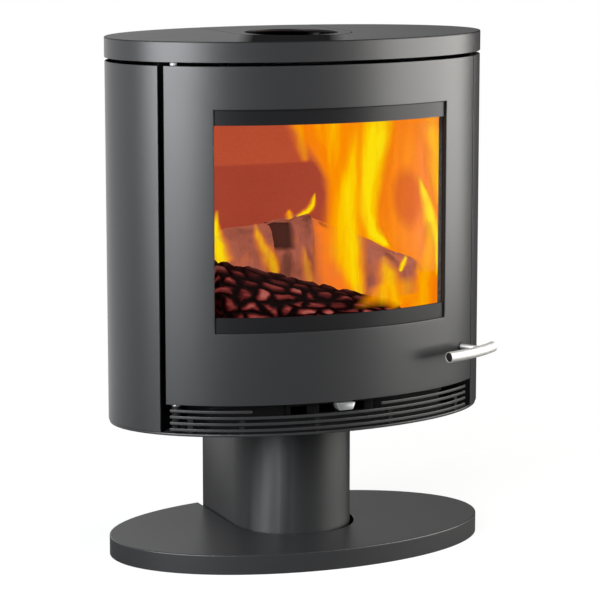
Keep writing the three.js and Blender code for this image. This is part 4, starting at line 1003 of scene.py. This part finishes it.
# The uprights' black is partly their paint and partly painted shade in the hollow behind the ribs.
for count, upright in enumerate((-235.0, -160.0, -40.0, 90.0, 235.0)):
    curved_slab(
        f"upright_{count + 1}", front_angle((upright - UPRIGHT_HALF, upright + UPRIGHT_HALF)),
        (4.2, 9.0), (BODY_FLOOR, 254.0), matt_black_and_shade, "stove", radius=0.5, steps=6, slot="black_paint",
    )
print(len(rib_spans), "rows of ribs")

# %% [markdown]
# ## Glass
# The pane is bent like the door and lies close behind its face, on a thin black tape. A flat plane
# with a Bend modifier would only be round; the slab along the oval stays parallel to the door. A black
# liner stands in the window's cut edge, so that no grey steel shows beside the fire.

# %% Pane, tape and liner
PANE = (-206.0, 206.0, 376.0, 749.0)
curved_slab(
    "window_pane", front_angle(PANE[:2]), (3.6, 7.6), PANE[2:], glass.material, "door",
    radius=1.0, steps=80, replaces=["door_glass"], slot="glass",
)
stacked(
    "glass_tape", framed_sheet(PANE, grown(WINDOW, 1.5), 3.05, 3.55, 0.1), rope.material,
    "door", ["glass_gasket"], "gasket", wrap=True,
)
stacked(
    "window_liner", framed_sheet(grown(WINDOW, -0.05), grown(WINDOW, -0.5), 0.7, 3.5, 0.1), matt_black_and_shade,
    "door", slot="dark_steel", wrap=True,
)
print("pane", PANE[1] - PANE[0], "x", PANE[3] - PANE[2], "mm")

# %% [markdown]
# ## Noise in arrays
# Logs and flames need irregular shapes that come out the same each time. The Displace modifier could
# bring them, but then the colours could not follow the same bumps. So a whole-number hash gives each
# corner of a lattice its own number, and smooth mixing between the corners gives a soft noise.


# %% Lattice noise
def hashed(i, j, k, seed):
    """A repeatable number from 0 to 1 for each lattice corner."""
    mask = 0xFFFFFFFF
    n = (i * 374761393 + j * 668265263 + k * 1442695041 + seed * 1274126177) & mask
    n = ((n ^ (n >> 13)) * 1274126177) & mask
    return ((n ^ (n >> 16)) & 0xFFFF) / 0xFFFF


def soft_noise(x, y, z=0.0, seed=0, octaves=3):
    """Value noise: the eight corner numbers mixed with s = f f (3 - 2 f), summed over octaves."""
    x, y, z = np.broadcast_arrays(*(np.asarray(v, float) for v in (x, y, z)))
    total, weight = np.zeros(x.shape), 0.0
    for octave in range(octaves):
        size, amount = 2.0**octave, 0.5**octave
        cells = [np.floor(v * size).astype(np.int64) for v in (x, y, z)]
        fx, fy, fz = ((f * f * (3 - 2 * f)) for f in (v * size - c for v, c in zip((x, y, z), cells)))
        for dx in (0, 1):
            for dy in (0, 1):
                for dz in (0, 1):
                    share = (fx if dx else 1 - fx) * (fy if dy else 1 - fy) * (fz if dz else 1 - fz)
                    total += amount * share * hashed(
                        cells[0] + dx, cells[1] + dy, cells[2] + dz, seed + octave
                    )
        weight += amount
    return total / weight


print("noise", soft_noise(0.3, 0.7).round(3))

# %% [markdown]
# ## Logs
# Each log is a tapered bar that lies on the hearth. Its grid has one coordinate along it and one round
# it. The front log is charcoal: rounded blocks with deep cracks, longer than they are high. They could
# be sculpted; here they are the cells round the points of a shifted, shaken grid. A block is a pillow
# that rises from the border between its own point and the next one.


# %% Log grids
HEARTH = 370.6


def log_grid(ends, along=210, around=150, squareness=2.0):
    """Points, outward directions and grid coordinates of a bar between two oval ends; the section is a
    superellipse, |c|^(2/n). An end lies on the hearth, or is lifted off it by a fifth number."""
    (x0, y0, d0, h0, *lift0), (x1, y1, d1, h1, *lift1) = ends
    s = np.linspace(0, 1, along)[:, None]
    turn = np.linspace(0, 2 * np.pi, around, endpoint=False)[None]
    power = 2.0 / squareness
    c = np.sign(np.cos(turn)) * np.abs(np.cos(turn)) ** power
    v = np.sign(np.sin(turn)) * np.abs(np.sin(turn)) ** power
    depth, height = d0 + (d1 - d0) * s, h0 + (h1 - h0) * s
    x = (x0 + (x1 - x0) * s) + 0 * turn
    y = (y0 + (y1 - y0) * s) + depth * c
    z = HEARTH + sum(lift0) * (1 - s) + sum(lift1) * s + height + height * v
    away = np.stack([0 * c + 0 * s, c / depth * 30 + 0 * s, v / height * 30 + 0 * s], -1)
    away /= np.linalg.norm(away, axis=-1)[..., None] + 1e-9
    return np.stack([x, y, z], -1), away, s + 0 * turn, turn + 0 * s


def blocks_of_char(s, turn, length, girth, block=(36.0, 19.0)):
    """How proud each point is. Block centres lie on a staggered grid with some jitter; the height of a
    point is a pillow of its distance from the border between its two nearest centres, (d2 - d1) / 2."""
    rows = 2 * round(girth / block[1] / 2)
    across = turn / (2 * np.pi) * rows + (soft_noise(s * 6, turn * 1.3, 0, 5) - 0.5) * 1.3
    along = s * length / block[0] + (soft_noise(s * 11, turn * 2.2, 0, 6) - 0.5) * 0.9
    row0, column0 = np.floor(across).astype(np.int64), np.floor(along).astype(np.int64)
    nearest, second, own = np.full(s.shape, 9.0), np.full(s.shape, 9.0), np.zeros(s.shape)
    for step in (-1, 0, 1):
        row = row0 + step
        same = row % rows
        for shift in (-2, -1, 0, 1, 2):
            column = column0 + shift
            jitter = [hashed(column, same, same * 0, seed) - 0.5 for seed in (11, 12, 13)]
            du = along - (column + 0.5 + 0.5 * (same % 2) + 0.75 * jitter[0])
            dv = across - (row + 0.5 + 0.42 * jitter[1])
            distance = (np.abs(du) ** 2.6 + np.abs(dv) ** 2.6) ** (1 / 2.6)
            closer = distance < nearest
            second = np.where(closer, nearest, np.minimum(second, distance))
            own = np.where(closer, jitter[2] + 0.5, own)
            nearest = np.where(closer, distance, nearest)
    border = (second - nearest) / 2
    crack = 0.03 + 0.09 * soft_noise(s * 16, turn * 3, 0, 15)
    return np.clip((border - crack) / 0.26, 0, 1) ** 0.6, own


def round_ends(points, rings=6, pull=5.0):
    """Closes both ends of a grid: rings that shrink to the middle of the end and bulge a little, each
    by pull * sqrt(1 - share^2) for the share of the rim that is left."""
    share = 1 - np.arange(1, rings + 1)[:, None, None] / rings * 0.985
    caps = []
    for end, inner in ((0, 1), (-1, -2)):
        middle = points[end].mean(0)
        step = (points[end] - points[inner]).mean(0)
        step /= np.linalg.norm(step)
        caps.append(middle + (points[end] - middle) * share + step * pull * np.sqrt(1 - share**2))
    return np.concatenate([caps[0][::-1], points, caps[1]])


def padded_numbers(values, rings=6):
    """The same rows of numbers for the rings that close the ends."""
    return np.concatenate([np.repeat(values[:1], rings, 0), values, np.repeat(values[-1:], rings, 0)])


def make_log(name, points, numbers, material, node, slot):
    """A closed log that carries its numbers and stands for one CAD node."""
    stacked(
        name, round_ends(points), material, "stove", [node], slot, bevel_normals=False,
        numbers={label: padded_numbers(values) for label, values in numbers.items()},
    )


# %% Charred front log
front_ends = ((-172, -57.1, 52, 62), (157, -49.6, 27, 15.5))
LOG_LENGTH, LOG_GIRTH, CRACK_DEPTH = 330.0, 300.0, 7.0
points, away, s, turn = log_grid(front_ends, 330, 260)
proud_by, own = blocks_of_char(s, turn, LOG_LENGTH, LOG_GIRTH)
height_of = proud_by * (0.6 + 0.4 * own)
swell = (soft_noise(s * 5, turn * 1.2, 0, 21) - 0.5) * 7
stripes = soft_noise(turn * 26, s * 9, 0, 23, 2) - 0.5
relief = CRACK_DEPTH * (1 - 0.4 * s) * (height_of - 1) + stripes * 2.6 * proud_by
points = points + away * (relief + swell * 0.5)[..., None]
points[..., 2] = np.maximum(points[..., 2], HEARTH)
# Painted light and shade of the fire: the glow is strongest low on the log and at its front, and each
# block is lighter or darker with the slope of its relief.
slope = np.gradient(relief, axis=1) * 1.1
firelit_low_and_front = np.clip((1.02 - away[..., 2]) * 1.25 + 0.1 * s, 0.1, 1)
lit_side = 1 + np.clip(slope, -0.5, 0.5)
shade = np.clip(firelit_low_and_front * (0.6 + 0.4 * own) * lit_side * 1.2 + 0.05, 0, 1)
make_log(
    "charred_log", points, {"char": height_of, "glow": shade}, charcoal.material, "front_log",
    "charred_wood",
)
print("points on the front log", proud_by.shape)

# %% [markdown]
# The logs behind it are split wood, scorched and lit by the flames; the light of the flames is painted
# into their emission. They could be boxes with a wood picture on them, but split faces are never flat.
# Their sections are squarer superellipses with ridges of fibre and shallow facets. The left one has a
# square notch between its splits, sunk back and painted dark as shade.


# %% Split rear logs
def split_log(name, ends, node, seed, notch=None):
    """A squarish bar with long ridges of fibre, worn corners and, where asked, one square notch."""
    points, away, s, turn = log_grid(ends, 150, 150, 3.0)
    ridge = soft_noise(turn * 7, s * 2, 0, seed, 4) - 0.5
    facet = np.abs(np.sin(turn * 2.5 + seed)) * 3.0
    lump = (soft_noise(s * 4, turn * 0.9, 0, seed + 5) - 0.5) * 13
    inward = np.minimum(ridge * 4 + lump - facet - 2.0, 1.5)
    points = points + away * inward[..., None]
    scorch_and_notch_shade = np.clip((soft_noise(s * 7, turn * 1.6, 0, seed + 9) - 0.6) * 3, 0, 0.6)
    if notch:
        x0, x1, z0, z1, deep = notch
        front = away[..., 1] < -0.3
        inside_x = np.clip(np.minimum(points[..., 0] - x0, x1 - points[..., 0]) / 3.0, 0, 1)
        inside_z = np.clip(np.minimum(points[..., 2] - z0, z1 - points[..., 2]) / 3.0, 0, 1)
        inside = inside_x * inside_z * front
        points[..., 1] += inside * deep
        # Painted shade: the sunk notch loses its glow and turns dark.
        scorch_and_notch_shade = np.maximum(scorch_and_notch_shade, inside * 0.93)
    points[..., 2] = np.maximum(points[..., 2], HEARTH)
    # Painted firelight: the part of the log between x 34 and 112 mm, behind the flames, glows orange, in
    # patches of noise.
    x = points[..., 0]
    warm = np.clip((x - 34) / 26, 0, 1) * np.clip((112 - x) / 16, 0, 1)
    painted_firelight = np.clip(warm * 0.95 + (soft_noise(s * 5, turn * 2.4, 0, seed + 17) - 0.6) * 0.9, 0, 0.95)
    make_log(name, points, {"char": scorch_and_notch_shade, "glow": painted_firelight}, split.material, node, "split_wood")


left_ends = ((-128, 52, 42, 74), (42, 56, 44, 85))
right_ends = ((44, 63, 40, 84), (184, -68, 28, 31, 41))
split_log("split_log_left", left_ends, "rear_log_left", 31, (-32, 9, 485, 530, 22))
split_log("split_log_right", right_ends, "rear_log_right", 47)
print("rear logs from x", left_ends[0][0], "to", right_ends[1][0])

# %% [markdown]
# ## Ember bed
# Glowing crumbs lie round the logs. Thousands of small stones would be slow and mostly hidden. So the
# bed is a height field over the hearth: low lumps of noise that fade out towards the lining, and the
# lower a point lies between the lumps, the more it glows. Its back corners follow the corner bricks.

# %% Embers
BED_HALF, BED_FRONT, BED_BACK, BED_CORNER = 186, -84, 92, 238
ACROSS_BED, DEEP_BED = 230, 110
bed_width = np.linspace(-BED_HALF, BED_HALF, ACROSS_BED)
bed_depth = np.linspace(BED_FRONT, BED_BACK, DEEP_BED)
ember_x, ember_y = np.meshgrid(bed_width, bed_depth, indexing="ij")
lumps = soft_noise(ember_x / 17, ember_y / 17, 0, 61, 3)
crust = soft_noise(ember_x / 5, ember_y / 5, 0, 63, 2)
to_rim = np.minimum(BED_HALF - np.abs(ember_x), np.minimum(ember_y - BED_FRONT, BED_BACK - ember_y))
fade = np.clip(to_rim / 16, 0, 1) * np.clip((250 - np.abs(ember_x) - ember_y) / 20, 0, 1)
ember_z = HEARTH + 0.4 + fade * (3 + lumps * 15 + crust * 4)
inside = (np.abs(ember_x) + ember_y) < BED_CORNER
heat_of_bed = np.clip(1.15 - lumps * 1.5 + (ember_x / BED_HALF) * 0.22, 0, 1)
bed_x = np.where(inside, ember_x, np.sign(ember_x) * (BED_CORNER - ember_y))
bed = make_piece(
    "ember_bed", np.stack([bed_x, ember_y, ember_z], -1),
    [quads_between(ACROSS_BED, DEEP_BED, wrap_around=False)], ember.material, closed=False,
    bevel_normals=False, numbers={"glow": heat_of_bed},
)
bed.data.flip_normals()
settle(bed, "stove")
print("ember bed up to", round(float(ember_z.max())), "mm")

# %% [markdown]
# ## Flames
# A flame follows a spine from its foot to its tip. The spine is a list of x, z and half width, joined
# by a smooth curve, and the sheet bulges away from the door like half a candle flame. Heat falls off
# from the spine to the rims and from the foot to the tip. Flat cards with a picture would look the same
# from the front, but a bent sheet also holds from the side.


# %% Flame sheets
def smooth_spine(points, steps):
    """A Catmull-Rom curve through the spine's points: position and half width at even parameters."""
    p = np.array([points[0], *points, points[-1]], float)
    t = np.linspace(0, len(points) - 1 - 1e-6, steps)
    k = t.astype(int)
    f = (t - k)[:, None]
    a, b, c, d = p[k], p[k + 1], p[k + 2], p[k + 3]
    square, cube = 2 * a - 5 * b + 4 * c - d, 3 * b - a - 3 * c + d
    return 0.5 * (2 * b + (c - a) * f + square * f**2 + cube * f**3)


def open_sheet(name, x, y, z, warmth, veil):
    """A fire sheet of the stove from three coordinate grids and its two numbers."""
    sheet = make_piece(
        name, np.stack([x, y, z], -1), [quads_between(*x.shape, wrap_around=False)], flame.material,
        closed=False, bevel_normals=False, numbers={"warmth": warmth, "veil": veil},
    )
    settle(sheet, "stove")


def flame_sheet(name, depth, spine, heat, veil, seed, steps=90, across=28):
    """Point (s, u) = spine(s) + u * half width(s) * 2.1 across the spine, and back by bulge * u^2;
    heat and veil fall from the middle to the rim as powers of 1 - |u|^1.6."""
    line = smooth_spine(spine, steps)
    tangent = np.gradient(line[:, :2], axis=0)
    tangent /= np.linalg.norm(tangent, axis=1)[:, None] + 1e-9
    side = np.stack([tangent[:, 1], -tangent[:, 0]], 1)
    s = np.linspace(0, 1, steps)[:, None]
    u = np.linspace(-1, 1, across)[None]
    half = line[:, 2:3] * 2.1
    lick = (soft_noise(s * 5, u * 1.5 + 4, 0, seed) - 0.5) * 0.5
    x = line[:, :1] + side[:, :1] * half * (u + lick * 0.6)
    z = line[:, 1:2] + side[:, 1:2] * half * (u + lick * 0.6)
    y = depth + half * 0.35 * u**2 + (soft_noise(s * 3, u, 0, seed + 3) - 0.5) * 6
    core = np.clip(1 - np.abs(u) ** 1.6, 0, 1)
    rise = np.clip(s / 0.08, 0, 1) * np.clip((1 - s) / 0.25, 0, 1) ** 0.6
    ragged = 0.75 + 0.5 * (soft_noise(s * 8, u * 2 + 9, 0, seed + 7) - 0.5)
    veil_of = np.clip(core**1.5 * rise * ragged * 1.5, 0, 1) * veil
    heat_of = np.clip(core**1.5 * (0.55 + 0.45 * rise) * heat * 1.1, 0, 1)
    open_sheet(name, x, y + 0 * x, z, heat_of, veil_of)


flames = {
    "flame_main_high": (
        25, [(184, 477, 3), (163, 494, 9), (147, 515, 14), (138, 552, 19), (143, 610, 21),
         (153, 660, 23), (162, 706, 24), (168, 730, 24)],
        1.0, 1.0,
    ),
    "flame_main_low": (
        -45, [(98, 404, 6), (91, 427, 12), (82, 459, 19), (76, 498, 25), (74, 548, 22),
         (77, 599, 17), (82, 647, 12), (87, 700, 7)],
        0.8, 1.0,
    ),
    "flame_right_tongue": (
        -100, [(218, 440, 9), (211, 481, 12), (203, 523, 12), (191, 565, 8), (181, 593, 5),
         (173, 616, 2)],
        1.0, 1.0,
    ),
    "flame_right_high": (
        -98, [(214, 560, 7), (210, 610, 11), (204, 660, 13), (196, 725, 15)],
        0.62, 0.9,
    ),
    "flame_left_edge": (
        -5, [(-131, 470, 15), (-136, 497, 14), (-140, 517, 9), (-141, 538, 5), (-139, 562, 2)],
        0.9, 0.95,
    ),
    "flame_left_curl": (
        0, [(-33, 448, 6), (-43, 474, 10), (-56, 496, 8), (-66, 517, 5), (-72, 536, 2)],
        0.62, 0.75,
    ),
    "flame_crest_small": (50, [(13, 525, 5), (11, 538, 5), (9, 549, 2)], 0.55, 0.85),
    "flame_crest": (
        50, [(22, 533, 3), (36, 540, 4), (49, 549, 4.5), (54, 562, 3), (56, 574, 1)],
        0.95, 1.0,
    ),
    "flame_thin": (0, [(28, 423, 7), (24, 445, 7), (19, 467, 6), (13, 495, 2)], 0.5, 0.45),
    "flame_front_right": (
        -104, [(142, 401, 11), (129, 429, 14), (118, 459, 12), (109, 487, 5)],
        0.62, 0.85,
    ),
    "flame_spark": (-104, [(140, 459, 2.5), (146, 471, 4), (151, 485, 2)], 1.0, 1.0),
    "flame_low_right": (-93, [(195, 397, 7), (188, 424, 6), (180, 449, 4), (177, 470, 2)], 0.75, 0.8),
    "flame_log_end": (
        -104, [(176, 388, 15), (180, 412, 15), (186, 440, 14), (190, 470, 12), (192, 505, 8),
         (193, 540, 3)],
        0.5, 0.97,
    ),
    "flame_top_streak": (92, [(58, 620, 5), (50, 655, 9), (42, 690, 13), (34, 735, 18)], 0.45, 0.55),
}
for number, (name, (depth, spine, heat_top, veil_top)) in enumerate(flames.items()):
    flame_sheet(name, depth, spine, heat_top, veil_top, seed=100 + 11 * number)
print(len(flames), "flames")

# %% [markdown]
# Behind the flames the gas burns as one bright curtain, and a low haze glows over the right end of the
# logs. Each is a wide sheet whose left rim follows a list of points and whose other rims fade out.


# %% Glow behind the flames
def haze_sheet(name, depth, left_edge, right, heat, veil=0.95, seed=5, steps=110, across=80):
    """A wide curtain of fire: its left rim follows a list of x, z points, and it fades in over 28 mm."""
    edge = smooth_spine([(x, z, 0) for x, z in left_edge], steps)
    u = np.linspace(0, 1, across)[None]
    waver = (soft_noise(edge[:, 1:2] / 40, 0 * u, 0, seed) - 0.5) * 16
    left = edge[:, :1] + waver
    x = left + (right - left) * u
    z = edge[:, 1:2] + 0 * u
    y = depth + 10 * np.sin(np.pi * u) + 0 * z
    inward = x - left
    top_hot = soft_noise(x / 22, z / 120, 0, seed + 2)
    ends = np.clip((z - z.min()) / 16, 0, 1) * np.clip((z.max() - z) / 16, 0, 1)
    rims = np.clip((right - x) / 30, 0, 1) * ends
    veil_of = np.clip(inward / 28, 0, 1) ** 1.3 * rims * veil * (0.8 + 0.3 * top_hot)
    heat_of = np.clip(heat * (0.55 + 0.8 * (top_hot - 0.2)) * np.clip(inward / 40 + 0.3, 0, 1), 0, 1)
    open_sheet(name, x, y, z, heat_of, np.clip(veil_of, 0, 1))


curtain_edge = [(88, 480), (86, 520), (84, 563), (80, 597), (62, 647), (44, 690), (36, 732)]
low_edge = [(46, 402), (66, 424), (84, 440), (112, 452)]
haze_sheet("flame_curtain", 86, curtain_edge, 150.0, 0.62)
haze_sheet("flame_over_log", -112, low_edge, 176.0, 0.6, 0.85, 12, 60, 60)
print("curtain and haze")

# %% [markdown]
# ## Light and floor
# The photograph was taken in a white studio: a large soft box on each side, a bright backdrop behind the
# stove, and a dark room in front of it. The paint shows exactly that: bright bands at the sides and a
# dark front. A ready-made panorama could light the stove, but area lamps can be set for each band. They
# are more than twice as tall as the stove, so that their reflections run down the whole body.


# %% Soft boxes
body_middle = Vector((0, 0, 0.5))


def soft_box(name, azimuth, height, distance, size, strength, colour):
    """An area lamp at an azimuth about the stove, 0 straight in front, that faces the body's middle."""
    angle = math.radians(azimuth)
    lamp = bpy.data.lights.new(name, "AREA")
    lamp.shape, lamp.size, lamp.size_y = "RECTANGLE", *size
    lamp.energy, lamp.color = strength, colour
    place = Vector((math.sin(angle) * distance, -math.cos(angle) * distance, height))
    stand = bpy.data.objects.new(name, lamp)
    stand.location = place
    stand.rotation_euler = (place - body_middle).to_track_quat("Z", "Y").to_euler()
    bpy.context.scene.collection.objects.link(stand)


soft_box("left_box", -59, 1.25, 2.4, (1.8, 1.9), 158, (0.95, 0.97, 1.0))
soft_box("right_box", 65, 1.1, 2.4, (2.8, 2.1), 150, (1.0, 0.985, 0.95))
print(len(bpy.data.lights), "lamps")

# %% [markdown]
# The world is plain white for the camera. Reflections see it white behind the stove, most of all to the
# left, and dark in front, as in the studio, and on matt surfaces it is a soft grey light from all round.
# Light Path tells these rays apart, so that a white background costs no extra light on the stove.

# %% World
backdrop_azimuth = math.radians(-150)
world = bpy.data.worlds.new("studio")
bpy.context.scene.world = world
world.use_nodes = True
studio = world.node_tree
studio.nodes.clear()
path = studio.nodes.new("ShaderNodeLightPath")
camera_ray = Value(studio, path.outputs["Is Camera Ray"])
glossy_ray = Value(studio, path.outputs["Is Glossy Ray"])
through_ray = Value(studio, path.outputs["Is Transmission Ray"])
direction = studio.nodes.new("ShaderNodeTexCoord")
facing = studio.nodes.new("ShaderNodeVectorMath")
facing.operation = "DOT_PRODUCT"
studio.links.new(direction.outputs["Generated"], facing.inputs[0])
facing.inputs[1].default_value = (math.sin(backdrop_azimuth), -math.cos(backdrop_azimuth), 0)
behind = (Value(studio, facing.outputs["Value"]) * 2.4 - 1.0).held()
plain = (camera_ray + through_ray).held()
strength = plain + (1 - plain) * (glossy_ray * (behind * 1.2 + 0.03) + (1 - glossy_ray) * 0.38)
background = studio.nodes.new("ShaderNodeBackground")
put(studio, background.inputs["Strength"], strength)
background.inputs["Color"].default_value = (1, 1, 1, 1)
world_output = studio.nodes.new("ShaderNodeOutputWorld")
studio.links.new(background.outputs[0], world_output.inputs["Surface"])
print("world", world.name)

# %% [markdown]
# The floor is a pale disc a few tenths of a millimetre under the foot. It fades out towards its rim, so
# that no horizon cuts the picture. Part of its white is emission for the camera only, so that it is
# nearly white in the picture, keeps the stove's soft shadow and is still darker in the reflections.

# %% Floor
ground = Finish("pale_floor", roughness=0.9, specular_ior_level=0.1)
rays = ground.tree.nodes.new("ShaderNodeLightPath")
seen = (Value(ground.tree, rays.outputs["Is Camera Ray"])
        + Value(ground.tree, rays.outputs["Is Transmission Ray"])).held()
ground.set("Base Color", ground.blend((0.12, 0.12, 0.12), (0.8, 0.8, 0.8), seen))
reach = ground.add("ShaderNodeVectorMath", {"operation": "LENGTH"}, {0: ground.place()}, "Value")
rim = ((reach - 0.75) * 2.2).held()
white = ground.add("ShaderNodeEmission", sockets={"Color": (1, 1, 1), "Strength": 1.0})
nothing = ground.add("ShaderNodeBsdfTransparent")
lit_floor = ground.add(
    "ShaderNodeMixShader", sockets={0: seen * 0.75, 1: ground.principled(), 2: white}
)
ground.finish_with(ground.add("ShaderNodeMixShader", sockets={0: rim, 1: lit_floor, 2: nothing}))
FLOOR_STEPS, FLOOR_DROP, FLOOR_RADII = 96, 0.4, (1.0, 600.0, 1250.0)
floor_turn = np.linspace(0, 2 * np.pi, FLOOR_STEPS, endpoint=False)
floor_circle = np.stack([np.cos(floor_turn), np.sin(floor_turn), 0 * floor_turn], 1)
floor_rings = [floor_circle * radius - (0, 0, FLOOR_DROP) for radius in FLOOR_RADII]
floor_faces = [quads_between(len(FLOOR_RADII), FLOOR_STEPS), np.arange(FLOOR_STEPS)[None]]
floor = make_piece(
    "floor", np.concatenate(floor_rings), floor_faces, ground.material, closed=False, bevel_normals=False
)
floor.data.flip_normals()
print("floor", 2 * FLOOR_RADII[-1], "mm wide")
